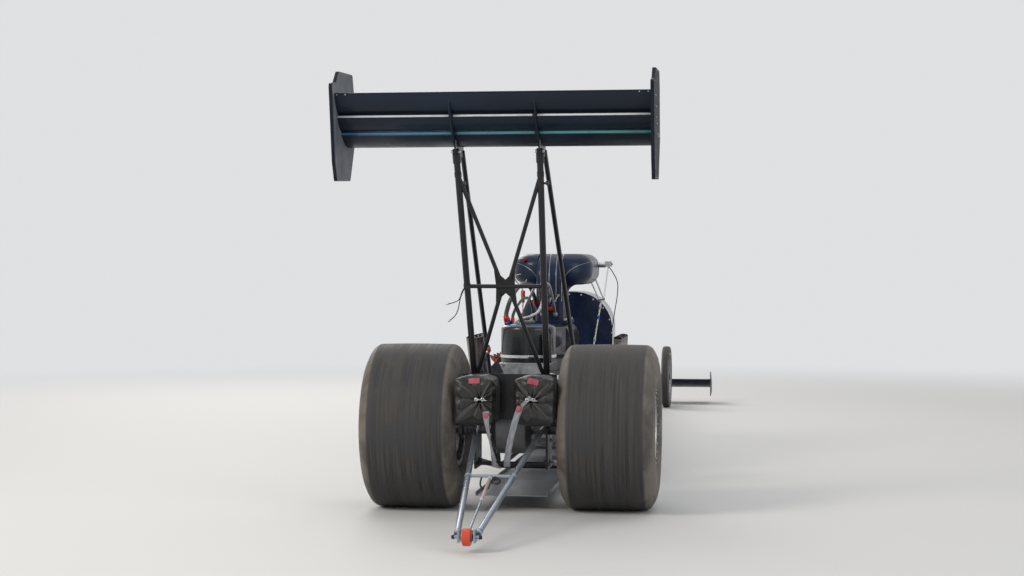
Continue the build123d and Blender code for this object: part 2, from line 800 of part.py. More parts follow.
# Clutch can, reverser and coupler, in line behind the engine, turned about the crankshaft's line
can_front_y = engine_rear_y - motor_plate_thickness
can_rear_y = can_front_y - clutch_can_length
reverser_rear_y, coupler_rear_y = can_rear_y - 465, 262
drive_line = Axis(at((0, 0, crank_z)), (0, 1, 0))
can_outline = (
    (can_front_y, 0),
    (can_front_y, clutch_can_radius),
    (can_front_y - 16, clutch_can_radius),
    (can_front_y - 30, clutch_can_radius - 18),
    (can_rear_y + 40, clutch_can_radius - 36),
    (can_rear_y, clutch_can_radius - 82),
    (can_rear_y, 0),
)
reverser_outline = (
    (can_rear_y, 0),
    (can_rear_y, reverser_radius + 25),
    (can_rear_y - 18, reverser_radius + 25),
    (can_rear_y - 18, reverser_radius),
    (reverser_rear_y + 60, reverser_radius),
    (reverser_rear_y, coupler_radius + 8),
    (coupler_rear_y, coupler_radius),
    (coupler_rear_y, 0),
)
with BuildPart() as clutch_can:
    with BuildSketch(lengthwise(0, crank_z)):
        with BuildLine():
            Polyline(*can_outline, close=True)
        make_face()
    revolve(axis=drive_line)
write(clutch_can, "clutch_can")

with BuildPart() as reverser:
    with BuildSketch(lengthwise(0, crank_z)):
        with BuildLine():
            Polyline(*reverser_outline, close=True)
        make_face()
    revolve(axis=drive_line)
write(reverser, "reverser")

# Plates that hold the engine between the rails, notched around the rails and braces
plate_span = (crank_z - 230, crank_z + 95)
with BuildPart() as motor_plates:
    for plate_y in (engine_rear_y - motor_plate_thickness, engine_front_y):
        block(
            (-motor_plate_half_width, plate_y, plate_span[0]),
            (motor_plate_half_width, plate_y + motor_plate_thickness, plate_span[1]),
        )
    disc((0, engine_front_y - 1, crank_z), (0, 1, 0), 31, motor_plate_thickness + 4, Mode.SUBTRACT)
    for side in (-1, 1):
        bar(flip(side, upper_rail[2]), flip(side, upper_rail[1]), rail_radius + panel_gap, Mode.SUBTRACT)
        bar(flip(side, lower_rail[1]), flip(side, upper_rail[2]), brace_radius + panel_gap, Mode.SUBTRACT)
write(motor_plates, "motor_plates")

# Rear end: the axle's fixed housing, with its pinion nose, coupling flange and bearing ends
with BuildPart() as rear_end:
    crossbar(housing_half_length, 0, axle_z, housing_radius)
    with BuildSketch(lengthwise(-drum_half_width)):
        with Locations((0, axle_z)):
            Circle(drum_radius)
    extrude(amount=2 * drum_half_width)
    drum_edges = edges().filter_by(GeomType.CIRCLE).filter_by(lambda edge: abs(edge.radius - drum_radius) < 1)
    chamfer(drum_edges, 30)
    bar((0, 80, crank_z), (0, coupler_rear_y, crank_z), pinion_radius)
    disc((0, coupler_rear_y - 16, crank_z), (0, 1, 0), pinion_radius + 16, 16)
    for side in (-1, 1):
        disc((side * (housing_half_length - 22), 0, axle_z), (side, 0, 0), 70, 22)
    crossbar(housing_half_length + 1, 0, axle_z, axle_radius + fit_gap, Mode.SUBTRACT)
write(rear_end, "rear_end")

# Brake calipers: a bridge over each disc, bolted to the housing's end
disc_inner_x, disc_outer_x = brake_disc_x, brake_disc_x + brake_disc_thickness
caliper_y, caliper_z = (60, 178), (axle_z - 50, axle_z + 50)
with BuildPart() as brake_calipers:
    for side in (-1, 1):
        side_block(side, (housing_half_length, disc_outer_x + 18), caliper_y, caliper_z)
        side_block(
            side,
            (disc_inner_x - brake_air_gap, disc_outer_x + brake_air_gap),
            (caliper_y[0], brake_disc_radius + brake_air_gap),
            (caliper_z[0] - 10, caliper_z[1] + 10),
            Mode.SUBTRACT,
        )
        side_block(side, (housing_half_length - 15, housing_half_length), caliper_y, caliper_z)
    add(rear_end.part, mode=Mode.SUBTRACT)
write(brake_calipers, "brake_calipers")

# Catch tank: an upright drum with rounded shoulders, a band and a cap
with BuildPart() as catch_tank:
    with BuildSketch(Plane.XY.offset(tank_floor_z)):
        with Locations(at((0, tank_y, 0))):
            Circle(tank_radius)
    extrude(amount=tank_height)
    fillet(edges().filter_by(GeomType.CIRCLE).group_by(Axis.Z)[-1], 26)
    disc((0, tank_y, tank_floor_z + 28), (0, 0, 1), tank_radius + 4, 16)
    disc((0, tank_y, tank_top_z), (0, 0, 1), 36, 18)
write(catch_tank, "catch_tank")

# The tank's shelf, with the tapered panel behind it
panel_y, shelf_half_width = tank_y - tank_radius - 8, 150
with BuildPart() as tank_bracket:
    block((-shelf_half_width, panel_y, tank_floor_z - 6), (shelf_half_width, tank_y + 110, tank_floor_z))
    with BuildSketch(across(panel_y)):
        with BuildLine():
            Polyline(
                (-shelf_half_width, tank_floor_z),
                (-34, crank_z + reverser_radius + 3),
                (34, crank_z + reverser_radius + 3),
                (shelf_half_width, tank_floor_z),
                close=True,
            )
        make_face()
    extrude(amount=-sheet_thickness)
    stay_y = panel_y + 40
    bar((-60, stay_y, mid_z), (-60, stay_y, tank_floor_z - 3), 8)
    bar((60, stay_y, mid_z), (60, stay_y, tank_floor_z - 3), 8)
    add(frame_rails.part, mode=Mode.SUBTRACT)
write(tank_bracket, "tank_bracket")

# Wing elements, from the front: nose and tail as forward and rise above wing_z, and thickness
main_plane = ((-400, 0), (-715, 16), 46)
flap_sections = (((-692, 30), (-812, 97), 16), ((-782, 110), (-880, 216), 20))


def wing_panel(nose, tail, thickness, mode=Mode.ADD):
    """Wing element of full span with an upside-down section: nearly flat on top, full underneath."""
    start, end = Vector(*nose), Vector(*tail)
    chord = end - start
    down = Vector(chord.Y, -chord.X) / -chord.length
    belly = start + chord * 0.38 + down * thickness
    top = start + chord * 0.45 + down * thickness * 0.12
    with BuildSketch(lengthwise(-wing_half_span, wing_z)) as section:
        with BuildLine():
            ThreePointArc(start, belly, end)
            ThreePointArc(end, top, start)
        make_face()
    extrude(section.sketch, amount=2 * wing_half_span, mode=mode)


with BuildPart() as wing_main:
    wing_panel(*main_plane)
write(wing_main, "wing_main")

with BuildPart() as wing_flaps:
    for flap in flap_sections:
        wing_panel(*flap)
write(wing_flaps, "wing_flaps")

end_plate_outline = (
    (-936, 264),
    (-850, 270),
    (-772, 338),
    (-448, 350),
    (-414, 262),
    (-390, -13),
    (-500, -213),
    (-812, -227),
    (-862, -128),
)
with BuildPart() as end_plates:
    for side in (-1, 1):
        with BuildSketch(lengthwise(side * wing_half_span, wing_z)):
            with BuildLine():
                Polyline(*end_plate_outline, close=True)
            make_face()
            fillet(vertices(), 20)
        extrude(amount=side * end_plate_thickness)
write(end_plates, "end_plates")

# Struts: from the frame's rear plates and its upper rails up to the wing's brackets
rear_strut = ((plate_x + plate_thickness / 2, -103, plate_top_z + 2), (strut_x, -632, strut_top_z))
front_strut = (upper_rail[2], (strut_x, -422, strut_top_z))
bracket_outline = (
    (-650, -88),
    (-405, -88),
    (-405, -8),
    (-690, 26),
    (-787, 110),
    (-870.5, 201.5),
    (-856, 132),
    (-800, 58),
    (-725, -13),
    (-665, -48),
)
with BuildPart() as wing_brackets:
    for side in (-1, 1):
        with BuildSketch(lengthwise(side * strut_x - bracket_thickness / 2, wing_z)):
            with BuildLine():
                Polyline(*bracket_outline, close=True)
            make_face()
        extrude(amount=bracket_thickness)
    for panel in (main_plane, *flap_sections):
        wing_panel(*panel, mode=Mode.SUBTRACT)
    for side in (-1, 1):
        for strut, radius in ((rear_strut, rear_strut_radius), (front_strut, front_strut_radius)):
            bar(flip(side, strut[0]), flip(side, strut[1]), radius + panel_gap, Mode.SUBTRACT)
write(wing_brackets, "wing_brackets")

with BuildPart() as wing_struts:
    for side in (-1, 1):
        for strut, radius in ((rear_strut, rear_strut_radius), (front_strut, front_strut_radius)):
            bar(flip(side, strut[0]), flip(side, strut[1]), radius)
    add(frame_rails.part, mode=Mode.SUBTRACT)
write(wing_struts, "wing_struts")


def strut_place(z):
    """Place on the right rear strut's middle line at this height."""
    foot, top = rear_strut
    return along(foot, top, (z - foot[2]) / (top[2] - foot[2]))


# Crossed brace between the rear struts, in their plane, with a waisted plate at its centre
_, brace_y, _ = strut_place(brace_z)
lean = (rear_strut[0][1] - rear_strut[1][1]) / (rear_strut[1][2] - rear_strut[0][2])
centre_x, centre_rise = 28, 40
centre_plane = Plane(origin=at((0, brace_y, brace_z)), x_dir=(1, 0, 0), z_dir=(0, -1, -lean))
with BuildPart() as strut_brace:
    for side in (-1, 1):
        for end_z, rise in ((brace_top_z, centre_rise), (plate_top_z + 30, -centre_rise)):
            start = (centre_x, brace_y - rise * lean, brace_z + rise)
            bar(flip(side, start), flip(side, strut_place(end_z)), brace_radius)
    crossbar(strut_place(brace_z)[0], brace_y, brace_z, brace_radius)
    with BuildSketch(centre_plane):
        with BuildLine():
            Polyline(
                (-56, 92), (0, 38), (56, 92), (50, 0), (56, -92), (0, -38), (-56, -92), (-50, 0), close=True
            )
        make_face()
    extrude(amount=brace_plate_thickness / 2, both=True)
    add(wing_struts.part, mode=Mode.SUBTRACT)
write(strut_brace, "strut_brace")

# Parachute packs on their carrier, with the straps down to the frame
with BuildPart() as chute_carrier:
    block(
        (-256, pack_front_y, pack_floor_z + 18),
        (256, pack_front_y + sheet_thickness, pack_floor_z + 263),
    )
    for side in (-1, 1):
        bar((side * 110, pack_front_y, chute_bar_z), (side * 110, chute_bar_y, chute_bar_z), 10)
    add(frame_rails.part, mode=Mode.SUBTRACT)
write(chute_carrier, "chute_carrier")

# Sections of the right pack: forward, inner x, outer x, low and high above its floor
pack_sections = (
    (pack_front_y, 48, 252, 0, 254),
    (pack_front_y - 162, 42, 258, -2, 270),
    (pack_front_y - 252, 50, 282, 6, 262),
)
with BuildPart() as chute_packs:
    for side in (-1, 1):
        placed = []
        for forward, inner, outer, low, high in pack_sections:
            with BuildSketch(across(forward)) as section:
                with Locations((side * (inner + outer) / 2, pack_floor_z + (low + high) / 2)):
                    RectangleRounded(outer - inner, high - low, pack_corner)
            placed.append(section.sketch)
        loft(placed, ruled=True)
write(chute_packs, "chute_packs")

riser_routes = (
    ((-94, -408, 572), (-62, -446, 430), (-42, -400, 300), (-34, chute_bar_y - 6, strap_bar_z + 8)),
    ((84, -408, 572), (44, -446, 430), (16, -400, 300), (10, chute_bar_y - 6, strap_bar_z + 8)),
)
with BuildPart() as chute_risers:
    for places in riser_routes:
        for start, end in zip(places[:-1], places[1:]):
            run = at(end) - at(start)
            with BuildSketch(Plane(origin=at(start), x_dir=(1, 0, 0), z_dir=run)):
                Rectangle(strap_width, strap_thickness)
            extrude(amount=run.length)
    for piece in (chute_packs, frame_rails):
        add(piece.part, mode=Mode.SUBTRACT)
write(chute_risers, "chute_risers")

# Anti-wheelie bar: two tubes, a crossbar, a centre stay and the wheel's fork
bar_tail = (48, wheelie_wheel_y + 20, wheelie_wheel_z + 11)
bar_head = (186, -100, axle_z + 16)
stay_end_y, stay_end_z = wheelie_wheel_y + 72, wheelie_wheel_z + 19
with BuildPart() as wheelie_bar:
    cross_x, cross_y, cross_z = along(bar_tail, bar_head, 0.49)
    for side in (-1, 1):
        bar(flip(side, bar_tail), flip(side, bar_head), wheelie_bar_radius)
        side_block(
            side,
            (wheelie_cheek_x, wheelie_cheek_x + 8),
            (wheelie_wheel_y - 24, wheelie_wheel_y + 60),
            (wheelie_wheel_z - 25, wheelie_wheel_z + 31),
        )
    crossbar(cross_x, cross_y, cross_z, 8)
    bar((0, cross_y, cross_z), (0, stay_end_y, stay_end_z), 6)
    crossbar(wheelie_cheek_x + 2, stay_end_y, stay_end_z, 8)
    crossbar(wheelie_cheek_x + 26, wheelie_wheel_y, wheelie_wheel_z, wheelie_pin_radius)
    add(frame_rails.part, mode=Mode.SUBTRACT)
write(wheelie_bar, "wheelie_bar")

with BuildPart() as wheelie_wheel:
    crossbar(wheelie_wheel_half_width, wheelie_wheel_y, wheelie_wheel_z, wheelie_wheel_radius)
    chamfer(edges().filter_by(GeomType.CIRCLE), 5)
    crossbar(30, wheelie_wheel_y, wheelie_wheel_z, wheelie_pin_radius + fit_gap, Mode.SUBTRACT)
write(wheelie_wheel, "wheelie_wheel")

# Front axle: a straight beam with an upright eye at each end
with BuildPart() as front_axle:
    crossbar(kingpin_x, wheelbase, axle_beam_z, axle_beam_radius)
    eye_low_z = axle_beam_z - axle_eye_height / 2
    for radius, mode in ((axle_eye_radius, Mode.ADD), (kingpin_radius + fit_gap, Mode.SUBTRACT)):
        for side in (-1, 1):
            disc((side * kingpin_x, wheelbase, eye_low_z), (0, 0, 1), radius, axle_eye_height, mode)
write(front_axle, "front_axle")

# Knuckles: a fork around the axle's eye, with its kingpin, spindle and steering arm
fork_low = axle_beam_z - axle_eye_height / 2 - knuckle_gap
fork_high = axle_beam_z + axle_eye_height / 2 + knuckle_gap
knuckle_depth = (wheelbase - axle_eye_radius, wheelbase + axle_eye_radius)
for side, name in ((-1, "knuckle_left"), (1, "knuckle_right")):
    with BuildPart() as knuckle:
        outer_x = kingpin_x + knuckle_reach
        for z in (fork_low - knuckle_plate, fork_high):
            disc((side * kingpin_x, wheelbase, z), (0, 0, 1), axle_eye_radius, knuckle_plate)
            side_block(side, (kingpin_x, outer_x), knuckle_depth, (z, z + knuckle_plate))
        side_block(side, (outer_x - 8, outer_x), knuckle_depth, (fork_low, fork_high))
        disc((side * kingpin_x, wheelbase, fork_low), (0, 0, 1), kingpin_radius, fork_high - fork_low)
        bar(
            (side * (outer_x - 2), wheelbase, front_tyre_radius),
            (side * (front_wheel_x + 30), wheelbase, front_tyre_radius),
            spindle_radius,
        )
        side_block(
            side,
            (kingpin_x - steering_arm_half_width, kingpin_x + steering_arm_half_width),
            (steering_arm_y, wheelbase),
            (fork_low - knuckle_plate, fork_low),
        )
        arm_end = (side * kingpin_x, steering_arm_y, fork_low - knuckle_plate)
        pin_height = tie_rod_z + tie_rod_eye_height / 2 + 4 - fork_low + knuckle_plate
        disc(arm_end, (0, 0, 1), steering_arm_half_width, knuckle_plate)
        disc(arm_end, (0, 0, 1), tie_rod_pin_radius, pin_height)
    write(knuckle, name)

with BuildPart() as tie_rod:
    crossbar(kingpin_x, steering_arm_y, tie_rod_z, tie_rod_radius)
    eye_low_z = tie_rod_z - tie_rod_eye_height / 2
    for side, clearance in ((-1, fit_gap), (1, open_pivot_clearance)):
        centre = (side * kingpin_x, steering_arm_y, eye_low_z)
        disc(centre, (0, 0, 1), tie_rod_eye_radius, tie_rod_eye_height)
        disc(centre, (0, 0, 1), tie_rod_pin_radius + clearance, tie_rod_eye_height, Mode.SUBTRACT)
write(tie_rod, "tie_rod")

# Front wing: a blade and an end plate each side of the nose. Forward places are from the wing's middle
front_wing_reach, front_wing_half_span = 580, 840
front_wing_y = wheelbase + front_wing_reach
blade_front, blade_back = (front_wing_y + 170, 158), (front_wing_y - 190, 240)
front_plate_outline = (
    (front_wing_y + 205, 96),
    (front_wing_y + 205, 190),
    (front_wing_y - 160, 312),
    (front_wing_y - 215, 312),
    (front_wing_y - 215, 80),
)
with BuildPart() as front_wing:
    for side in (-1, 1):
        with BuildSketch(lengthwise(side * 70)):
            with BuildLine():
                ThreePointArc(blade_front, (front_wing_y + 60, 166), blade_back)
                ThreePointArc(blade_back, (front_wing_y + 70, 148), blade_front)
            make_face()
        extrude(amount=side * (front_wing_half_span - 70))
        with BuildSketch(lengthwise(side * front_wing_half_span)):
            with BuildLine():
                Polyline(*front_plate_outline, close=True)
            make_face()
            fillet(vertices(), 14)
        extrude(amount=side * 6)
    add(nose_cone.part, mode=Mode.SUBTRACT)
write(front_wing, "front_wing")

# Rear axle shaft with its hub flanges and brake discs
hub_x = rear_wheel_x + wheel_disc_offset
flange_inner_x = hub_x - hub_flange_thickness
with BuildPart() as axle_shaft:
    crossbar(hub_x + wheel_disc_thickness + axle_overhang, 0, axle_z, axle_radius)
    for side in (-1, 1):
        disc((side * hub_x, 0, axle_z), (-side, 0, 0), hub_flange_radius, hub_flange_thickness)
        disc_face = (side * disc_outer_x, 0, axle_z)
        bar(disc_face, (side * flange_inner_x, 0, axle_z), hub_barrel_radius)
        disc((side * brake_disc_x, 0, axle_z), (side, 0, 0), brake_disc_radius, brake_disc_thickness)
write(axle_shaft, "axle_shaft")


def turned(wheel, outline):
    """Solid of revolution about a wheel's axle, from an outline of (sideways, radius) points."""
    with BuildSketch(Plane(origin=at(wheel), x_dir=(1, 0, 0), z_dir=(0, -1, 0))) as profile:
        with BuildLine():
            Polyline(*outline, close=True)
        make_face()
    revolve(profile.sketch, axis=Axis(at(wheel), (1, 0, 0)))


def barrel(wheel, half_width, radius, flange_height, flange_thickness, depth):
    """Turned wheel rim: a straight barrel between two flanges that hold the tyre's beads."""
    outer, top = half_width + flange_thickness, radius + flange_height
    turned(
        wheel,
        (
            (-outer, radius - depth),
            (-outer, top),
            (-half_width, top),
            (-half_width, radius),
            (half_width, radius),
            (half_width, top),
            (outer, top),
            (outer, radius - depth),
        ),
    )


def wheel_web(wheel, faces, radius, bore, holes, hole_radius, circle_radius):
    """Wheel's web between its two faces, with its centre bore and a circle of lightening holes."""
    inner, outer = faces
    x, forward, z = wheel
    with BuildSketch(lengthwise(x + inner, z)) as web:
        with Locations((forward, 0)):
            Circle(radius)
            Circle(bore, mode=Mode.SUBTRACT)
            with PolarLocations(circle_radius, holes):
                Circle(hole_radius, mode=Mode.SUBTRACT)
    extrude(web.sketch, amount=outer - inner)


def tyre_side(radius, widths, bead, inset):
    """Bead, bulge, shoulder and tread edge of a tyre's side, as (sideways, radius), this far inside it."""
    half_width, tread_half, _ = widths
    bead_radius, bead_half, flange = bead
    height = radius - bead_radius
    return (
        (bead_half - inset, bead_radius + flange),
        (half_width - inset, bead_radius + 0.47 * height),
        (0.9 * half_width - inset, radius - 0.12 * height - 0.6 * inset),
        (tread_half, radius - 3 - inset),
    )


def tyre(wheel, radius, widths, bead):
    """Turned tyre: its widths are half width, half tread and wall, its bead is radius, half width, rise."""
    outside = tyre_side(radius, widths, bead, 0)
    inside = tyre_side(radius, widths, bead, widths[2])
    with BuildSketch(Plane(origin=at(wheel), x_dir=(1, 0, 0), z_dir=(0, -1, 0))) as profile:
        with BuildLine():
            for side in (-1, 1):
                foot, bulge, shoulder, edge = [(side * reach, height) for reach, height in outside]
                lining = [(side * reach, height) for reach, height in inside]
                ThreePointArc(foot, bulge, shoulder)
                RadiusArc(shoulder, edge, -side * (0.16 * widths[0] + 12))
                Polyline(foot, (foot[0], bead[0]), (lining[0][0], bead[0]), *lining)
            ThreePointArc((-outside[3][0], outside[3][1]), (0, radius), outside[3])
            Line((-inside[3][0], inside[3][1]), inside[3])
        make_face()
    revolve(profile.sketch, axis=Axis(at(wheel), (1, 0, 0)))


with BuildPart() as rear_rims:
    for side in (-1, 1):
        wheel = (side * rear_wheel_x, 0, axle_z)
        web = sorted((side * wheel_disc_offset, side * (wheel_disc_offset + wheel_disc_thickness)))
        barrel(wheel, rear_rim_half_width, rear_rim_radius, rear_flange_height, rear_flange_thickness, 8)
        wheel_web(wheel, web, rear_rim_radius - 4, axle_radius + panel_gap, 10, 20, lightening_circle_radius)
write(rear_rims, "rear_rims")

with BuildPart() as rear_tyres:
    for side in (-1, 1):
        tyre(
            (side * rear_wheel_x, 0, axle_z),
            rear_tyre_radius,
            (rear_tyre_half_width, rear_tread_half_width, rear_tyre_wall),
            (rear_rim_radius + panel_gap, rear_rim_half_width - 1, rear_flange_height + 1),
        )
write(rear_tyres, "rear_tyres")

for side, name in ((-1, "left"), (1, "right")):
    wheel = (side * front_wheel_x, wheelbase, front_tyre_radius)
    with BuildPart() as front_rim:
        barrel(
            wheel, front_rim_half_width, front_rim_radius, front_flange_height, front_flange_thickness, 4
        )
        wheel_web(wheel, (-3, 3), front_rim_radius - 2, hub_radius - 2, 8, 26, 128)
        turned(
            wheel,
            (
                (-28, spindle_radius + fit_gap),
                (-28, hub_radius),
                (26, hub_radius),
                (26, spindle_radius + fit_gap),
            ),
        )
    write(front_rim, f"front_rim_{name}")
    with BuildPart() as front_tyre:
        tyre(
            wheel,
            front_tyre_radius,
            (front_tyre_half_width, front_tread_half_width, front_tyre_wall),
            (front_rim_radius + panel_gap, front_rim_half_width - 1, front_flange_height + 1),
        )
    write(front_tyre, f"front_tyre_{name}")

# Hoses over the engine: two breathers and two vents from the tank, and a braided fuel line
breather_routes = (
    (
        13,
        (-118, tank_y, tank_top_z),
        (-134, tank_y + 5, tank_top_z + 55),
        (-118, 700, tank_top_z + 135),
        (-98, 850, tank_top_z + 205),
        (-85, 1100, tank_top_z + 240),
        (-82, 1400, tank_top_z + 215),
        (-85, 1650, tank_top_z + 145),
        (-80, 1800, tank_top_z + 60),
    ),
    (
        9,
        (-86, tank_y, tank_top_z),
        (-96, tank_y + 10, tank_top_z + 45),
        (-80, 700, tank_top_z + 100),
        (-60, 860, tank_top_z + 150),
        (-52, 1130, tank_top_z + 150),
        (-60, 1400, tank_top_z + 60),
        (-70, blower_rear_y + 2, blower_floor_z + 150),
    ),
)
vent_routes = (
    (
        8,
        (-42, tank_y, tank_top_z),
        (-34, tank_y + 5, tank_top_z + 45),
        (-18, 680, tank_top_z + 105),
        (2, 760, tank_top_z + 175),
        (4, 960, tank_top_z + 225),
        (-10, 1250, tank_top_z + 225),
        (-30, 1500, tank_top_z + 165),
        (-46, neck_back_y + 3, tank_top_z + 25),
    ),
)
fuel_route = (
    (-70, tank_y - 50, tank_top_z),
    (-66, tank_y - 50, tank_top_z + 22),
    (-30, tank_y - 45, tank_top_z + 38),
    (16, tank_y - 30, tank_top_z + 48),
    (58, tank_y, tank_top_z + 72),
    (76, tank_y + 30, tank_top_z + 120),
    (74, 780, tank_top_z + 195),
    (64, 1000, tank_top_z + 240),
    (52, 1280, tank_top_z + 225),
    (44, 1520, tank_top_z + 150),
    (40, neck_back_y + 3, tank_top_z + 25),
)
with BuildPart() as breather_hoses:
    for radius, *places in (*breather_routes, *vent_routes):
        tube(places, radius)
    for piece in (catch_tank, injector_hat, blower):
        add(piece.part, mode=Mode.SUBTRACT)
write(breather_hoses, "breather_hoses")

with BuildPart() as fuel_hose:
    tube(fuel_route, 8)
    for piece in (catch_tank, injector_hat):
        add(piece.part, mode=Mode.SUBTRACT)
write(fuel_hose, "fuel_hose")

# Throttle cable: from the side lever out, down and forward into the shroud's back
cable_route = (
    (barrel_side_x + 66, linkage_y, lever_z - 12),
    (barrel_side_x + 84, linkage_y + 30, lever_z - 34),
    (382, 2480, hat_mouth_z - 85),
    (372, 2550, hat_mouth_z - 180),
    (346, 2640, hat_mouth_z - 290),
    (328, shroud_rear_y - 24, hat_mouth_z - 400),
    (312, shroud_rear_y - 16, hat_mouth_z - 450),
    (296, shroud_rear_y + 4, hat_mouth_z - 470),
)
with BuildPart() as throttle_cable:
    tube(cable_route, 3)
    for piece in (throttle_linkage, cage_shroud):
        add(piece.part, mode=Mode.SUBTRACT)
write(throttle_cable, "throttle_cable")
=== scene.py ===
import math

import bmesh
import bpy
from mathutils import Matrix, Vector, noise
from mathutils.bvhtree import BVHTree


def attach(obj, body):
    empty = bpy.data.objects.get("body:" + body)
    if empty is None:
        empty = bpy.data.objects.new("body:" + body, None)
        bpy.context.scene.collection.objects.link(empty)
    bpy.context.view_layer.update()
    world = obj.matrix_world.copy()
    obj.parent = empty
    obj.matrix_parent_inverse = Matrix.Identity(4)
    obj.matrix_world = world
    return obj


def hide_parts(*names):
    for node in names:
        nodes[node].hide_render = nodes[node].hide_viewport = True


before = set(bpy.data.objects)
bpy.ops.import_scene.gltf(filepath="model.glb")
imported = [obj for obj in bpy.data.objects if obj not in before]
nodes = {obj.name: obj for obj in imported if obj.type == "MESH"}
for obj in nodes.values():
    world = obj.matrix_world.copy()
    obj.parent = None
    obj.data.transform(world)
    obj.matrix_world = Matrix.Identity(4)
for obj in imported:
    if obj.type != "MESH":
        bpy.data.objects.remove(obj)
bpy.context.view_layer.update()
scene = bpy.context.scene
rearAxleY = -3.367  # the rear axle's place along the car
wheelbase = 7.62
axleHeight = 0.45
materials = {}


def at(x, forward, z):
    return Vector((x, rearAxleY + forward, z))


upward, downward, rightward = (0, 0, 1), (0, 0, -1), (1, 0, 0)
onward, backward = (0, 1, 0), (0, -1, 0)


# Camera, at the photograph's place behind the car and a little to the right
camera = {"place": at(1.375, -10.431, 1.333), "turn": 0.132, "tilt": -0.012, "lens": 67.48, "sensor": 36.0}


def makeCamera():
    data = bpy.data.cameras.new("camera")
    data.lens, data.sensor_width = camera["lens"], camera["sensor"]
    data.clip_start, data.clip_end = 0.05, 200
    holder = bpy.data.objects.new("camera", data)
    holder.location = camera["place"]
    holder.rotation_euler = (math.pi / 2 + camera["tilt"], 0, camera["turn"])
    scene.collection.objects.link(holder)
    scene.camera = holder


# Picking, joining and finishing


def deselect():
    if bpy.context.object and bpy.context.object.mode != "OBJECT":
        bpy.ops.object.mode_set(mode="OBJECT")
    bpy.ops.object.select_all(action="DESELECT")


def pick(thing):
    deselect()
    thing.select_set(True)
    bpy.context.view_layer.objects.active = thing


def settle(thing):
    pick(thing)
    bpy.ops.object.transform_apply(location=True, rotation=True, scale=True)
    return thing


def softenEdges(thing, width, segments=2, angle=35):
    return addModifier(
        thing, "BEVEL", width=width, segments=segments, limit_method="ANGLE", angle_limit=math.radians(angle),
    )


def subdivide(cuts):
    bpy.ops.object.mode_set(mode="EDIT")
    bpy.ops.mesh.select_all(action="SELECT")
    bpy.ops.mesh.subdivide(number_cuts=cuts)
    bpy.ops.object.mode_set(mode="OBJECT")


def addModifier(thing, kind, **values):
    # put on and applied at once
    pick(thing)
    modifier = thing.modifiers.new(kind.lower(), kind)
    for label, value in values.items():
        setattr(modifier, label, value)
    bpy.ops.object.modifier_apply(modifier=modifier.name)
    return thing


def joinAll(name, things):
    deselect()
    for thing in things:
        thing.select_set(True)
    bpy.context.view_layer.objects.active = things[0]
    if len(things) > 1:
        bpy.ops.object.join()
    joined = bpy.context.object
    joined.name = name
    return joined


def paint(thing, finish):
    thing.data.materials.clear()
    thing.data.materials.append(materials[finish])
    return thing


def finishPiece(thing, name, finish=None, body="chassis", angle=40):
    settle(thing)
    thing.name = name
    if finish:
        paint(thing, finish)
    bpy.ops.object.shade_smooth_by_angle(angle=math.radians(angle))
    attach(thing, body)
    return thing


# Shapes that several pieces start from


def rod(start, end, radius, sides=16, rim=0.2):
    start, end = Vector(start), Vector(end)
    way = end - start
    deselect()
    bpy.ops.mesh.primitive_cylinder_add(
        vertices=sides, radius=radius, depth=way.length, location=(start + end) / 2,
        rotation=way.to_track_quat("Z", "Y").to_euler(),
    )
    return softenEdges(settle(bpy.context.object), rim * radius, 2, 50)


def slab(low, high, rim=0.002, segments=2):
    low, high = Vector(low), Vector(high)
    deselect()
    bpy.ops.mesh.primitive_cube_add(size=1, location=(low + high) / 2, scale=high - low)
    return softenEdges(settle(bpy.context.object), rim, segments)


def turned(outline, base, way, sides=48):
    # an outline of (along, radius) pairs, open for a solid and closed for a ring
    closed = outline[0] == outline[-1]
    deselect()
    bpy.ops.mesh.primitive_circle_add(
        vertices=sides, radius=outline[0][1], fill_type="NOTHING" if closed else "NGON",
        location=(0, 0, outline[0][0]),
    )
    thing = settle(bpy.context.object)
    bpy.ops.object.mode_set(mode="EDIT")
    bpy.ops.mesh.select_all(action="SELECT")
    for (before, radius), (after, wider) in zip(outline, outline[1:]):
        bpy.ops.mesh.extrude_region_move(TRANSFORM_OT_translate={"value": (0, 0, after - before)})
        bpy.ops.transform.resize(value=(wider / radius, wider / radius, 1), center_override=(0, 0, after))
    bpy.ops.mesh.select_all(action="SELECT")
    if closed:
        bpy.ops.mesh.remove_doubles(threshold=0.00001)
    bpy.ops.mesh.normals_make_consistent(inside=False)
    bpy.ops.object.mode_set(mode="OBJECT")
    thing.rotation_euler = Vector(way).to_track_quat("Z", "Y").to_euler()
    thing.location = base
    return settle(thing)


def wire(points, radius, steps=6, closed=False):
    curve = bpy.data.curves.new("wire", "CURVE")
    curve.dimensions = "3D"
    spline = curve.splines.new("NURBS")
    spline.points.add(len(points) - 1)
    for control, place in zip(spline.points, points):
        control.co = (*place, 1)
    spline.order_u = 3
    spline.use_endpoint_u, spline.use_cyclic_u = not closed, closed
    curve.bevel_depth, curve.bevel_resolution = radius, 2
    curve.resolution_u, curve.use_fill_caps = steps, True
    thing = bpy.data.objects.new("wire", curve)
    scene.collection.objects.link(thing)
    pick(thing)
    bpy.ops.object.convert(target="MESH")
    return bpy.context.object


def copiesOf(pattern, places):
    # the pattern stands at the origin and points up; places are (where, which way)
    copies = []
    for place, way in places:
        copy = bpy.data.objects.new(pattern.name, pattern.data.copy())
        turn = Vector(way).to_track_quat("Z", "Y").to_matrix().to_4x4()
        copy.data.transform(Matrix.Translation(place) @ turn)
        scene.collection.objects.link(copy)
        copies.append(copy)
    bpy.data.objects.remove(pattern)
    return copies


def spun(finish, *shape):
    return paint(turned(*shape), finish)


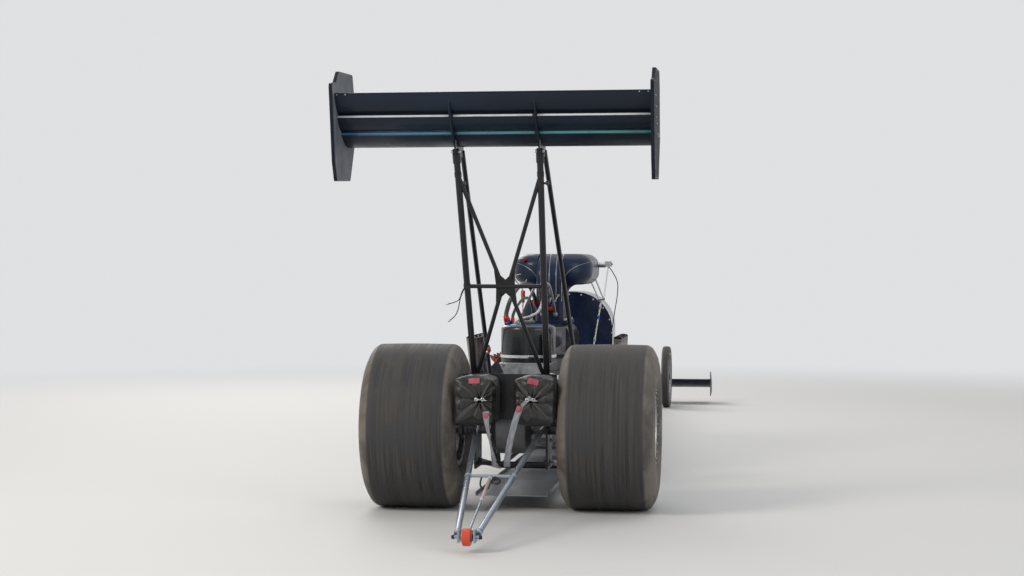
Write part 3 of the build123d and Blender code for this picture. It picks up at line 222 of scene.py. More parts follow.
def block(finish, *shape):
    return paint(slab(*shape), finish)


def bar(finish, *shape):
    return paint(rod(*shape), finish)


def route(places, side=1):
    return [at(side * x, forward, z) for x, forward, z in places]


def facing(side, x, spots):
    # places on a side wall that point outward
    return [(at(side * x, forward, z), (side, 0, 0)) for forward, z in spots]


def finishGroup(things, name, body="chassis", angle=40):
    finishPiece(joinAll(name, things), name, None, body, angle)


def hexBolt(across, height):
    # washer and six-sided head with a chamfered rim
    washer = turned([(0, across * 0.72), (height * 0.25, across * 0.72)], (0, 0, 0), upward, 16)
    deselect()
    bpy.ops.mesh.primitive_cylinder_add(
        vertices=6, radius=across * 0.56, depth=height, location=(0, 0, height * 0.7)
    )
    head = settle(bpy.context.object)
    bpy.ops.object.mode_set(mode="EDIT")
    bpy.ops.mesh.select_all(action="SELECT")
    bpy.ops.mesh.bevel(offset=height * 0.12, segments=1)
    bpy.ops.object.mode_set(mode="OBJECT")
    return joinAll("bolt", [washer, head])


def pipe(points, radius, finish, steps=6):
    return paint(wire(points, radius, steps), finish)


def bolts(places, across, height, finish="plain bolts"):
    return [paint(bolt, finish) for bolt in copiesOf(hexBolt(across, height), places)]


def rivets(outline, sides, places, finish="pale fitting"):
    return [paint(copy, finish) for copy in copiesOf(turned(outline, (0, 0, 0), upward, sides), places)]


def collar(base, way, radius, length, finish):
    # sleeve with a soft rim and a narrower end, as hose ends and clamps have
    way = Vector(way).normalized()
    sleeve = turned(
        [
            (0, radius * 0.92), (length * 0.06, radius), (length * 0.55, radius),
            (length * 0.62, radius * 0.86), (length, radius * 0.8),
        ],
        base, way, 20,
    )
    return paint(sleeve, finish)


def hoseEnd(place, way, radius, nut="blue anodised", socket="red anodised"):
    # screwed hose end: a six-sided nut against the port and a socket over the hose
    way = Vector(way).normalized()
    deselect()
    bpy.ops.mesh.primitive_cylinder_add(
        vertices=6, radius=radius * 1.75, depth=radius * 1.3, location=Vector(place) + way * radius * 0.65,
        rotation=way.to_track_quat("Z", "Y").to_euler(),
    )
    grip = softenEdges(settle(bpy.context.object), radius * 0.12, 1)
    sleeve = collar(Vector(place) + way * radius * 1.2, way, radius * 1.5, radius * 3.2, socket)
    return [paint(grip, nut), sleeve]


def spring(start, end, radius, thick, turns, finish):
    start, end = Vector(start), Vector(end)
    way = end - start
    turn = way.to_track_quat("Z", "Y").to_matrix()
    points = []
    for step in range(turns * 8 + 1):
        angle = step * math.pi / 4
        points.append(
            start
            + way * step / (turns * 8)
            + turn @ Vector((radius * math.cos(angle), radius * math.sin(angle), 0))
        )
    return pipe(points, thick, finish, 2)


def ringPlaces(centre, way, radius, count, start=0.0):
    # places on a circle about an axis, all pointing the same way
    turn = Vector(way).to_track_quat("Z", "Y").to_matrix()
    spots = []
    for step in range(count):
        angle = start + 2 * math.pi * step / count
        spots.append(
            (Vector(centre) + turn @ Vector((radius * math.cos(angle), radius * math.sin(angle), 0)), way)
        )
    return spots


# Finishes


def newMaterial(name):
    material = bpy.data.materials.new(name)
    material.use_nodes = True
    material.node_tree.nodes.clear()
    materials[name] = material
    return material.node_tree


def newShader(name):
    tree = newMaterial(name)
    return tree, nodeOf(tree, "TexCoord").outputs["Object"], nodeOf(tree, "BsdfPrincipled")


def closeShader(tree, shader, colour, rough, constants={}, bump=None):
    # bump is the height that varies, how far it reaches and how strongly
    setIn(tree, shader.inputs["Base Color"], colour)
    setIn(tree, shader.inputs["Roughness"], rough)
    for label, value in constants.items():
        shader.inputs[label].default_value = value
    if bump:
        height, reach, strength = bump
        raised = nodeOf(tree, "Bump", Height=height, Distance=reach, Strength=strength)
        tree.links.new(raised.outputs["Normal"], shader.inputs["Normal"])
    tree.links.new(shader.outputs["BSDF"], nodeOf(tree, "OutputMaterial").inputs["Surface"])


def setIn(tree, target, value):
    if isinstance(value, bpy.types.NodeSocket):
        tree.links.new(value, target)
    elif value is not None:
        target.default_value = value


def nodeOf(tree, kind, **inputs):
    node = tree.nodes.new("ShaderNode" + kind)
    for label, value in inputs.items():
        setIn(tree, node.inputs[label], value)
    return node


def splitXyz(tree, vector):
    return nodeOf(tree, "SeparateXYZ", Vector=vector).outputs


def sums(tree, operation, first, second=None, clamp=False):
    node = tree.nodes.new("ShaderNodeMath")
    node.operation, node.use_clamp = operation, clamp
    setIn(tree, node.inputs[0], first)
    setIn(tree, node.inputs[1], second)
    return node.outputs[0]


def times(tree, first, second, clamp=False):
    return sums(tree, "MULTIPLY", first, second, clamp)


def plus(tree, first, second, clamp=False):
    return sums(tree, "ADD", first, second, clamp)


def apart(tree, first, second):
    return sums(tree, "ABSOLUTE", sums(tree, "SUBTRACT", first, second))


def ramp(tree, value, low, high, toLow=0.0, toHigh=1.0):
    node = tree.nodes.new("ShaderNodeMapRange")
    node.interpolation_type = "SMOOTHSTEP"
    for socket, amount in zip(node.inputs, (value, low, high, toLow, toHigh)):
        setIn(tree, socket, amount)
    return node.outputs[0]


def blendColour(tree, mask, first, second):
    node = tree.nodes.new("ShaderNodeMix")
    node.data_type = "RGBA"
    setIn(tree, node.inputs["Factor"], mask)
    for socket, colour in ((6, first), (7, second)):
        setIn(tree, node.inputs[socket], colour if isinstance(colour, bpy.types.NodeSocket) else (*colour, 1))
    return node.outputs[2]


def noiseIn(tree, place, scale, detail=4.0, roughness=0.55, distortion=0.0):
    return nodeOf(
        tree, "TexNoise", Vector=place, Scale=scale, Detail=detail, Roughness=roughness, Distortion=distortion
    ).outputs["Fac"]


def scaled(tree, place, scale, location=(0, 0, 0)):
    return nodeOf(tree, "Mapping", Vector=place, Scale=scale, Location=location).outputs["Vector"]


def newGroup(name, inputs, outputs):
    # every group takes a place, named Vector, and these inputs with their usual values
    group = bpy.data.node_groups.new(name, "ShaderNodeTree")
    for label, value in {"Vector": None, **inputs}.items():
        kind = "NodeSocketFloat" if isinstance(value, float) else "NodeSocketVector"
        socket = group.interface.new_socket(name=label, in_out="INPUT", socket_type=kind)
        if value is not None:
            socket.default_value = value
    for label in outputs:
        group.interface.new_socket(name=label, in_out="OUTPUT", socket_type="NodeSocketFloat")
    return group, group.nodes.new("NodeGroupInput").outputs, group.nodes.new("NodeGroupOutput").inputs


def useGroup(tree, name, **values):
    node = tree.nodes.new("ShaderNodeGroup")
    node.node_tree = bpy.data.node_groups[name]
    for label, value in values.items():
        setIn(tree, node.inputs[label], value)
    return node.outputs


def makeGroups():
    # track dust: settles on what faces up, in patches
    group, given, put = newGroup("track dust", {"Scale": 5.0, "Cover": 0.4}, ["Mask"])
    patches = noiseIn(group, given["Vector"], given["Scale"], 7, 0.62, 0.3)
    fine = noiseIn(group, given["Vector"], 160.0, 3, 0.6)
    facing = splitXyz(group, nodeOf(group, "NewGeometry").outputs["Normal"])
    edge = sums(group, "SUBTRACT", 0.86, given["Cover"])
    mask = ramp(group, patches, edge, plus(group, edge, 0.3))
    mask = times(group, mask, ramp(group, facing["Z"], -0.3, 0.95, 0.25, 1.0))
    group.links.new(times(group, mask, ramp(group, fine, 0.2, 0.75, 0.35, 1.0)), put["Mask"])

    # drawn lines along tube or sheet, as brushing leaves
    group, given, put = newGroup("brushed lines", {"Stretch": (900.0, 20.0, 900.0)}, ["Lines"])
    lines = noiseIn(group, scaled(group, given["Vector"], given["Stretch"]), 1.0, 3, 0.6)
    group.links.new(lines, put["Lines"])

    # stone chips
    group, given, put = newGroup("stone chips", {"Scale": 60.0, "Cover": 0.1}, ["Mask"])
    cells = nodeOf(group, "TexVoronoi", Vector=given["Vector"], Scale=given["Scale"])
    spots = sums(group, "LESS_THAN", cells.outputs["Distance"], given["Cover"])
    where = ramp(group, noiseIn(group, given["Vector"], 3.0, 4, 0.6), 0.52, 0.66)
    group.links.new(times(group, spots, where), put["Mask"])

    # woven threads, over and under
    group, given, put = newGroup("weave", {"Threads": 700.0}, ["Height", "Shade"])
    axes = splitXyz(group, given["Vector"])
    waves = [sums(group, "SINE", times(group, axes[axis], given["Threads"])) for axis in "XYZ"]
    height = ramp(group, times(group, plus(group, waves[0], waves[1]), waves[2]), -1.0, 1.0)
    group.links.new(height, put["Height"])
    wear = ramp(group, noiseIn(group, given["Vector"], 9.0, 5, 0.6), 0.3, 0.7, 0.7, 1.0)
    group.links.new(times(group, wear, ramp(group, height, 0.0, 1.0, 0.8, 1.0)), put["Shade"])

    # marks that run round a wheel: the place is measured from the wheel's own middle
    group, given, put = newGroup("wheel marks", {"Fineness": 240.0}, ["Streaks", "Patches", "Radius"])
    axes = splitXyz(group, given["Vector"])
    angle = sums(group, "ARCTAN2", axes["Y"], axes["Z"])
    squares = [times(group, axes[axis], axes[axis]) for axis in "YZ"]
    radius = sums(group, "SQRT", plus(group, *squares))
    sideways, outward = times(group, axes["X"], given["Fineness"]), times(group, radius, given["Fineness"])
    turnSine, turnCosine = (times(group, sums(group, wave, angle), 1.6) for wave in ("SINE", "COSINE"))
    circling = nodeOf(group, "CombineXYZ", X=sideways, Y=turnSine, Z=plus(group, outward, turnCosine))
    group.links.new(noiseIn(group, circling.outputs[0], 0.4, 5, 0.65), put["Streaks"])
    group.links.new(noiseIn(group, given["Vector"], 5.5, 6, 0.6, 0.4), put["Patches"])
    group.links.new(radius, put["Radius"])


def dusted(tree, place, base, colour, scale, cover, share):
    film = times(tree, useGroup(tree, "track dust", Vector=place, Scale=scale, Cover=cover)["Mask"], share)
    return blendColour(tree, film, base, colour), film


def lacquer(
    name, colour, deep, roughness, metallic=0.0, coat=0.0, specular=0.5, scale=7.0, dust=0.35,
    dustColour=(0.16, 0.13, 0.1), chips=0.0, chipColour=(0.3, 0.3, 0.3), grain=0.0, grainScale=700.0,
    lines=None,
):
    # the finish that most rigid pieces share, with each one's own colours and wear
    tree, place, shader = newShader(name)
    base = blendColour(tree, ramp(tree, noiseIn(tree, place, scale, 5, 0.6), 0.32, 0.68), deep, colour)
    wear = noiseIn(tree, place, scale * 4, 6, 0.65)
    rough = ramp(tree, wear, 0.3, 0.7, roughness * 0.8, min(1.0, roughness * 1.25))
    if lines:
        drawn = useGroup(tree, "brushed lines", Vector=place, Stretch=lines)["Lines"]
        bright = tuple(min(1.0, part * 1.6) for part in colour)
        base = blendColour(tree, ramp(tree, drawn, 0.3, 0.7, 0.0, 0.35), base, bright)
        rough = times(tree, rough, ramp(tree, drawn, 0.3, 0.7, 0.85, 1.25), True)
    if chips:
        base = blendColour(
            tree, useGroup(tree, "stone chips", Vector=place, Cover=chips)["Mask"], base, chipColour,
        )
    base, film = dusted(tree, place, base, dustColour, 4.0, dust, 0.75)
    rough = plus(tree, rough, times(tree, film, 0.3), True)
    bump = None
    if grain:
        bump = (drawn if lines else noiseIn(tree, place, grainScale, 4, 0.6), grain, 0.6)
    constants = {
        "Metallic": metallic, "Coat Weight": coat, "Coat Roughness": 0.06, "Specular IOR Level": specular,
    }
    closeShader(tree, shader, base, rough, constants, bump)


# name: colour, deeper colour, roughness, and what else that finish has
finishes = {
    "body lacquer": (
        (0.01, 0.021, 0.052), (0.006, 0.012, 0.033), 0.26,
        dict(coat=0.3, dust=0.16, scale=2.5, chips=0.04, specular=0.35),
    ),
    "scoop lacquer": (
        (0.008, 0.018, 0.046), (0.005, 0.011, 0.029), 0.34,
        dict(coat=0.1, dust=0.12, scale=2.5, chips=0.04, specular=0.2),
    ),
    "frame black": (
        (0.012, 0.012, 0.014), (0.007, 0.007, 0.009), 0.36,
        dict(
            coat=0.12, dust=0.18, chips=0.06, chipColour=(0.12, 0.115, 0.11), grain=0.0002, specular=0.35,
            dustColour=(0.1, 0.085, 0.07),
        ),
    ),
    "wing lacquer": (
        (0.006, 0.014, 0.03), (0.004, 0.009, 0.02), 0.42,
        dict(coat=0.12, dust=0.12, scale=2.0, specular=0.25),
    ),
    "end plate grey": (
        (0.17, 0.18, 0.195), (0.115, 0.12, 0.132), 0.58,
        dict(dust=0.2, grain=0.0003, grainScale=350.0, specular=0.15),
    ),
    "sheet alloy": (
        (0.52, 0.53, 0.55), (0.4, 0.41, 0.43), 0.36,
        dict(metallic=0.9, dust=0.42, lines=(30.0, 700.0, 30.0), grain=0.0001),
    ),
    "cast alloy": (
        (0.2, 0.205, 0.215), (0.1, 0.1, 0.11), 0.48,
        dict(metallic=0.75, dust=0.46, grain=0.0012, grainScale=420.0),
    ),
    "black casting": (
        (0.03, 0.034, 0.042), (0.016, 0.018, 0.022), 0.3,
        dict(metallic=0.3, coat=0.35, dust=0.38, grain=0.0005, grainScale=520.0),
    ),
    "bar steel": ((0.38, 0.42, 0.48), (0.33, 0.37, 0.43), 0.3, dict(metallic=0.85, dust=0.06, scale=1.2)),
    # darker than the sheet alloy: painted shade, as the pan lies under the car; its brushing and dust are
    # real
    "pan alloy": (
        (0.25, 0.26, 0.28), (0.17, 0.18, 0.2), 0.42,
        dict(metallic=0.6, dust=0.4, lines=(30.0, 700.0, 30.0), grain=0.0001),
    ),
    "turned steel": (
        (0.5, 0.5, 0.51), (0.34, 0.34, 0.36), 0.28,
        dict(metallic=0.95, dust=0.3, grain=0.0001, grainScale=900.0),
    ),
    "wheel alloy": (
        (0.56, 0.57, 0.59), (0.42, 0.43, 0.45), 0.26,
        dict(metallic=0.9, dust=0.46, grain=0.0002, dustColour=(0.1, 0.085, 0.07)),
    ),
    "block iron": (
        (0.11, 0.11, 0.12), (0.05, 0.05, 0.055), 0.55,
        dict(metallic=0.5, dust=0.5, grain=0.0014, grainScale=300.0),
    ),
    "plain bolts": ((0.42, 0.41, 0.4), (0.24, 0.23, 0.23), 0.34, dict(metallic=0.9, dust=0.35)),
    "tank black": (
        (0.012, 0.014, 0.019), (0.007, 0.009, 0.012), 0.28,
        dict(coat=0.35, dust=0.14, scale=5.0, specular=0.35),
    ),
    "red anodised": ((0.42, 0.03, 0.022), (0.26, 0.018, 0.014), 0.3, dict(metallic=0.8, dust=0.2)),
    "blue anodised": ((0.03, 0.085, 0.26), (0.02, 0.05, 0.16), 0.28, dict(metallic=0.8, dust=0.2)),
    "gold fitting": ((0.5, 0.36, 0.16), (0.34, 0.23, 0.1), 0.32, dict(metallic=0.85, dust=0.3)),
    "pale fitting": ((0.62, 0.62, 0.6), (0.44, 0.44, 0.43), 0.35, dict(metallic=0.6, dust=0.3)),
    "silver edge": ((0.74, 0.76, 0.78), (0.6, 0.62, 0.65), 0.3, dict(metallic=0.2, dust=0.12)),
    "seat shell": ((0.03, 0.03, 0.032), (0.018, 0.018, 0.02), 0.45, dict(dust=0.25, grain=0.0004)),
    "drive belt": (
        (0.022, 0.022, 0.022), (0.012, 0.012, 0.012), 0.62, dict(dust=0.4, grain=0.0006, grainScale=260.0),
    ),
    "hose rubber": (
        (0.02, 0.02, 0.021), (0.012, 0.012, 0.012), 0.42, dict(dust=0.4, grain=0.0003, grainScale=300.0),
    ),
    "wheel red": (
        (0.72, 0.075, 0.022), (0.52, 0.045, 0.014), 0.38,
        dict(coat=0.2, dust=0.35, dustColour=(0.12, 0.08, 0.06), grain=0.0005, grainScale=200.0),
    ),
    "lead sleeve": ((0.5, 0.06, 0.035), (0.34, 0.04, 0.025), 0.5, dict(dust=0.3)),
    "rod pink": ((0.56, 0.4, 0.38), (0.44, 0.31, 0.3), 0.38, dict(metallic=0.3, dust=0.25)),
    "bracket brown": (
        (0.085, 0.07, 0.06), (0.055, 0.046, 0.041), 0.48,
        dict(metallic=0.4, dust=0.35, grain=0.0004, grainScale=350.0),
    ),
    "seam dark": ((0.006, 0.006, 0.008), (0.004, 0.004, 0.005), 0.5, dict(dust=0.2)),
    "seam light": ((0.3, 0.31, 0.33), (0.22, 0.23, 0.25), 0.32, dict(metallic=0.4, dust=0.2)),
    "grip rubber": (
        (0.016, 0.016, 0.017), (0.01, 0.01, 0.01), 0.66, dict(dust=0.2, grain=0.0007, grainScale=260.0),
    ),
    "tag red": (
        (0.46, 0.095, 0.14), (0.33, 0.06, 0.09), 0.75, dict(dust=0.3, grain=0.0008, grainScale=500.0),
    ),
}


def makeFinishes():
    for name, (colour, deep, roughness, extra) in finishes.items():
        lacquer(name, colour, deep, roughness, **extra)


def makeTyreRubber(name, middle, size, streakFineness):
    # dusty tread with marks that run round it; lighter, browner shoulders and walls with scuffs
    tree, place, shader = newShader(name)
    place = scaled(tree, place, (1, 1, 1), (0, -middle.y, -middle.z))
    marks = useGroup(tree, "wheel marks", Vector=place, Fineness=streakFineness)
    tread = blendColour(
        tree, ramp(tree, marks["Streaks"], 0.38, 0.62), (0.016, 0.016, 0.018), (0.056, 0.05, 0.044),
    )
    tread = blendColour(
        tree, ramp(tree, marks["Patches"], 0.42, 0.66, 0.0, 0.6), tread, (0.034, 0.036, 0.042),
    )
    wall = blendColour(
        tree, ramp(tree, marks["Patches"], 0.35, 0.65), (0.07, 0.062, 0.053), (0.15, 0.132, 0.11),
    )
    across = apart(tree, sums(tree, "ABSOLUTE", splitXyz(tree, place)["X"]), size["sideways"])
    inTread = ramp(tree, across, size["treadHalf"] * 0.97, size["treadHalf"] * 1.06, 1.0, 0.0)
    inTread = times(tree, inTread, ramp(tree, marks["Radius"], size["crown"] - 0.045, size["crown"] - 0.012))
    base = blendColour(tree, inTread, wall, tread)
    base = dusted(tree, place, base, (0.14, 0.12, 0.095), 7.0, 0.3, 0.5)[0]
    height = plus(tree, marks["Streaks"], times(tree, noiseIn(tree, place, 320.0, 4, 0.7), 0.5))
    rough = ramp(tree, marks["Streaks"], 0.3, 0.7, 0.58, 0.86)
    closeShader(tree, shader, base, rough, bump=(height, 0.0012, 0.7))


def makeCloth(name, colour, pale, threads, roughness, sheen, dust=0.3):
    tree, place, shader = newShader(name)
    woven = useGroup(tree, "weave", Vector=place, Threads=threads)
    base = blendColour(tree, woven["Shade"], colour, pale)
    base = dusted(tree, place, base, (0.15, 0.125, 0.1), 9.0, dust, 0.6)[0]
    rough = ramp(tree, noiseIn(tree, place, 30.0, 5, 0.6), 0.3, 0.7, roughness - 0.12, roughness + 0.1)
    height = plus(tree, woven["Height"], noiseIn(tree, place, 60.0, 4, 0.6))
    closeShader(
        tree, shader, base, rough, {"Sheen Weight": sheen, "Sheen Roughness": 0.4}, (height, 0.0006, 0.5),
    )


def makeWebbing():
    # silver-grey strap: ribs along its length, a stitched line near each edge, from its own UV map
    tree, _, shader = newShader("strap webbing")
    spread = nodeOf(tree, "UVMap").outputs["UV"]
    across, along = splitXyz(tree, spread)[:2]
    ribs = sums(tree, "SINE", times(tree, across, 70.0))
    picks = sums(tree, "SINE", times(tree, along, 900.0))
    height = plus(tree, ribs, times(tree, picks, 0.5))
    worn = noiseIn(tree, scaled(tree, spread, (2.0, 14.0, 1.0)), 1.0, 6, 0.65)
    base = blendColour(tree, ramp(tree, worn, 0.3, 0.7), (0.17, 0.19, 0.22), (0.46, 0.47, 0.49))
    base = blendColour(tree, ramp(tree, height, -1.2, 1.2, 0.0, 0.35), base, (0.08, 0.09, 0.11))
    edge = apart(tree, across, 0.5)
    seam = times(tree, sums(tree, "GREATER_THAN", edge, 0.38), sums(tree, "LESS_THAN", edge, 0.42))
    base = blendColour(tree, times(tree, seam, 0.7), base, (0.07, 0.07, 0.08))
    rough = ramp(tree, worn, 0.3, 0.7, 0.42, 0.75)
    closeShader(tree, shader, base, rough, {"Sheen Weight": 0.3}, (height, 0.0005, 1.0))


def makeHeaderSteel():
    # heat colours: straw and blue near the heads, then grey-brown, with soot at the open ends
    tree, place, shader = newShader("header steel")
    waver = times(tree, noiseIn(tree, place, 14.0, 5, 0.6), 0.12)
    height = plus(tree, splitXyz(tree, place)["Z"], waver)
    base = blendColour(tree, ramp(tree, height, 0.58, 0.72), (0.34, 0.25, 0.15), (0.13, 0.15, 0.27))
    base = blendColour(tree, ramp(tree, height, 0.7, 0.84), base, (0.33, 0.3, 0.28))
    base = blendColour(tree, ramp(tree, height, 0.86, 0.97), base, (0.055, 0.05, 0.048))
    drawn = useGroup(tree, "brushed lines", Vector=place, Stretch=(260.0, 260.0, 30.0))["Lines"]
    base = blendColour(tree, ramp(tree, drawn, 0.35, 0.65, 0.0, 0.3), base, (0.42, 0.38, 0.35))
    closeShader(tree, shader, base, ramp(tree, drawn, 0.3, 0.7, 0.3, 0.48), {"Metallic": 0.85})


def makeBraid():
    tree, place, shader = newShader("hose braid")
    woven = useGroup(tree, "weave", Vector=place, Threads=1500.0)
    base = blendColour(tree, woven["Height"], (0.2, 0.2, 0.21), (0.62, 0.62, 0.63))
    rough = ramp(tree, woven["Shade"], 0.5, 1.0, 0.42, 0.26)
    closeShader(tree, shader, base, rough, {"Metallic": 0.85}, (woven["Height"], 0.0006, 1.0))


def makePlateFaces():
    # an end plate is grey towards the wing, dark outside and along its edges
    tree = materials["end plate grey"].node_tree
    colour = next(node for node in tree.nodes if node.type == "BSDF_PRINCIPLED").inputs["Base Color"]
    facing = splitXyz(tree, nodeOf(tree, "NewGeometry").outputs["Normal"])["X"]
    place = splitXyz(tree, nodeOf(tree, "TexCoord").outputs["Object"])["X"]
    outward = ramp(tree, times(tree, facing, place), -0.6, -0.3)
    tree.links.new(blendColour(tree, outward, colour.links[0].from_socket, (0.008, 0.012, 0.02)), colour)


def makeSlotLight(name, row, left, right):
    # painted light line in the middle of its strip, standing for the light seen along the slot between the
    # wing's elements, dark round it, from one colour on the left to another on the right
    tree, place, shader = newShader(name)
    axes = splitXyz(tree, place)
    base = blendColour(tree, ramp(tree, axes["X"], -0.75, 0.45), left, right)
    scuffs = noiseIn(tree, scaled(tree, place, (12.0, 90.0, 90.0)), 1.0, 5, 0.6)
    base = blendColour(tree, ramp(tree, scuffs, 0.45, 0.7, 0.0, 0.4), base, (0.02, 0.05, 0.07))
    edge = ramp(tree, apart(tree, axes["Z"], row["z"]), row["line"] * 0.85, row["line"])
    base = blendColour(tree, edge, base, (0.005, 0.01, 0.02))
    closeShader(tree, shader, base, ramp(tree, scuffs, 0.3, 0.7, 0.22, 0.42), {"Coat Weight": 0.5})


def makeScreen():
    tree, place, shader = newShader("smoked screen")
    haze = noiseIn(tree, place, 40.0, 6, 0.65)
    base = blendColour(tree, ramp(tree, haze, 0.4, 0.7), (0.3, 0.33, 0.36), (0.42, 0.44, 0.46))
    rough = ramp(tree, haze, 0.3, 0.7, 0.03, 0.12)
    closeShader(tree, shader, base, rough, {"Transmission Weight": 0.85, "IOR": 1.49})


# Floor, world and lamps

stage = {
    "floorSize": 120,
    "floorColour": (0.66, 0.655, 0.645, 1),
    "worldColour": (0.86, 0.87, 0.88, 1),
    "worldStrength": 0.5,
    "backdropColour": (0.74, 0.75, 0.76, 1),
    "backdropStrength": 1.0,
    "fadeFrom": 5.2,
    "fadeTo": 12.5,
    "lamps": (  # name, place, aim, size, watts, colour
        ("key", (-8.0, -10.5, 7.0), (0, -3, 0.8), 4.0, 760, (1.0, 0.94, 0.86)),
        ("fill", (8.0, -9.0, 4.0), (0, -3, 0.8), 6.0, 230, (0.86, 0.92, 1.0)),
        ("rim", (-5.0, 8.0, 7.0), (0, -2, 1.0), 6.0, 480, (1.0, 0.97, 0.93)),
        ("top", (1.0, 0.5, 10.0), (0, 0.5, 0.0), 9.0, 260, (1.0, 1.0, 1.0)),
    ),
}


def mixShaders(tree, share, first, second, end):
    mix = tree.nodes.new("ShaderNodeMixShader")
    for socket, source in zip(mix.inputs, (share, first.outputs[0], second.outputs[0])):
        tree.links.new(source, socket)
    tree.links.new(mix.outputs[0], nodeOf(tree, end).inputs["Surface"])


def makeStage():
    deselect()
    bpy.ops.mesh.primitive_plane_add(size=stage["floorSize"], location=(0, 10, 0))
    floor = bpy.context.object
    floor.name = "floor"
    tree = newMaterial("pale floor")
    near = nodeOf(tree, "BsdfPrincipled", Roughness=0.7, **{"Base Color": stage["floorColour"]})
    far = nodeOf(tree, "Emission", Color=stage["backdropColour"], Strength=stage["backdropStrength"])
    reach = tree.nodes.new("ShaderNodeVectorMath")
    reach.operation = "LENGTH"
    tree.links.new(nodeOf(tree, "NewGeometry").outputs["Position"], reach.inputs[0])
    fade = ramp(tree, reach.outputs["Value"], stage["fadeFrom"], stage["fadeTo"])
    mixShaders(tree, fade, near, far, "OutputMaterial")
    floor.data.materials.append(materials["pale floor"])

    world = bpy.data.worlds.new("studio")
    world.use_nodes = True
    scene.world = world
    tree = world.node_tree
    tree.nodes.clear()
    plain = nodeOf(tree, "Background", Color=stage["worldColour"], Strength=stage["worldStrength"])
    seen = nodeOf(tree, "Background", Color=stage["backdropColour"], Strength=stage["backdropStrength"])
    path = nodeOf(tree, "LightPath").outputs
    straight = sums(tree, "MAXIMUM", path["Is Camera Ray"], path["Is Transmission Ray"])
    mixShaders(tree, sums(tree, "MAXIMUM", straight, path["Is Glossy Ray"]), plain, seen, "OutputWorld")
    for name, place, aim, size, watts, colour in stage["lamps"]:
        data = bpy.data.lights.new(name, "AREA")
        data.size, data.energy, data.color = size, watts, colour
        lamp = bpy.data.objects.new(name, data)
        lamp.location = place
        lamp.rotation_euler = (Vector(aim) - Vector(place)).to_track_quat("-Z", "Y").to_euler()
        scene.collection.objects.link(lamp)
    scene.view_settings.view_transform = "Standard"


# What each part of the frame is finished in

piecesIn = {
    "body lacquer": "nose_body nose_cone cockpit_tub cage_shroud",
    "scoop lacquer": "injector_hat",
    "wing lacquer": "front_wing wing_main wing_flaps wing_brackets",
    "end plate grey": "end_plates",
    "smoked screen": "windscreen",
    "frame black": (
        "roll_cage cage_side_bars frame_rails wing_struts strut_brace chute_carrier "
        "front_axle"
    ),
    "seat shell": "seat",
    "turned steel": (
        "steering_column clutch_can knuckle_left knuckle_right tie_rod axle_shaft "
        "throttle_linkage"
    ),
    "cast alloy": "steering_wheel cylinder_heads intake_manifold reverser rear_end brake_calipers",
    # the belly pan's finish carries painted shade
    "pan alloy": "belly_pan",
    "sheet alloy": "motor_plates tank_bracket throttle_plates",
    "block iron": "engine_block",
    "black casting": "rocker_covers blower magneto",
    "drive belt": "blower_drive",
    "header steel": "headers",
    "tank black": "catch_tank",
    "bar steel": "wheelie_bar",
    "wheel alloy": "front_rim_left front_rim_right rear_rims",
    "hose rubber": "throttle_cable breather_hoses",
    "hose braid": "fuel_hose",
    "wheel red": "wheelie_wheel",
    "pack cloth": "chute_packs",
    "strap webbing": "chute_risers",
    "rear rubber": "rear_tyres",
    "front rubber": "front_tyre_left front_tyre_right",
}


def dressNodes():
    dressed = set()
    for finish, names in piecesIn.items():
        for name in names.split():
            slots = nodes[name].data.materials
            if not slots:
                slots.append(materials[finish])
            for index in range(len(slots)):
                slots[index] = materials[finish]
            dressed.add(name)
    print("nodes left plain:", sorted(set(nodes) - dressed))


# Rear tyres: slick crown, rolled shoulders, ribbed walls

rearTyre = {
    "sideways": 0.532, "crown": 0.45, "treadHalf": 0.2, "halfWidth": 0.261, "beadHalf": 0.221,
    "beadRadius": 0.2035, "beadRise": 0.018, "wall": 0.012, "sides": 144, "ribs": (0.262, 0.352, 0.385),
    "rib": 0.0016,
}


def arcThrough(first, middle, last, steps):
    # points on the circle through three points
    (ax, ay), (bx, by), (cx, cy) = first, middle, last
    d = 2 * (ax * (by - cy) + bx * (cy - ay) + cx * (ay - by))
    ux = (
        (ax * ax + ay * ay) * (by - cy) + (bx * bx + by * by) * (cy - ay) + (cx * cx + cy * cy) * (ay - by)
    ) / d
    uy = (
        (ax * ax + ay * ay) * (cx - bx) + (bx * bx + by * by) * (ax - cx) + (cx * cx + cy * cy) * (bx - ax)
    ) / d
    radius = math.hypot(ax - ux, ay - uy)
    start, through, end = (math.atan2(y - uy, x - ux) for x, y in (first, middle, last))
    while through < start:
        through += 2 * math.pi
    while end < start:
        end += 2 * math.pi
    if through > end:
        end -= 2 * math.pi
    return [
        (
            ux + radius * math.cos(start + (end - start) * i / steps),
            uy + radius * math.sin(start + (end - start) * i / steps),
        )
        for i in range(steps + 1)
    ]


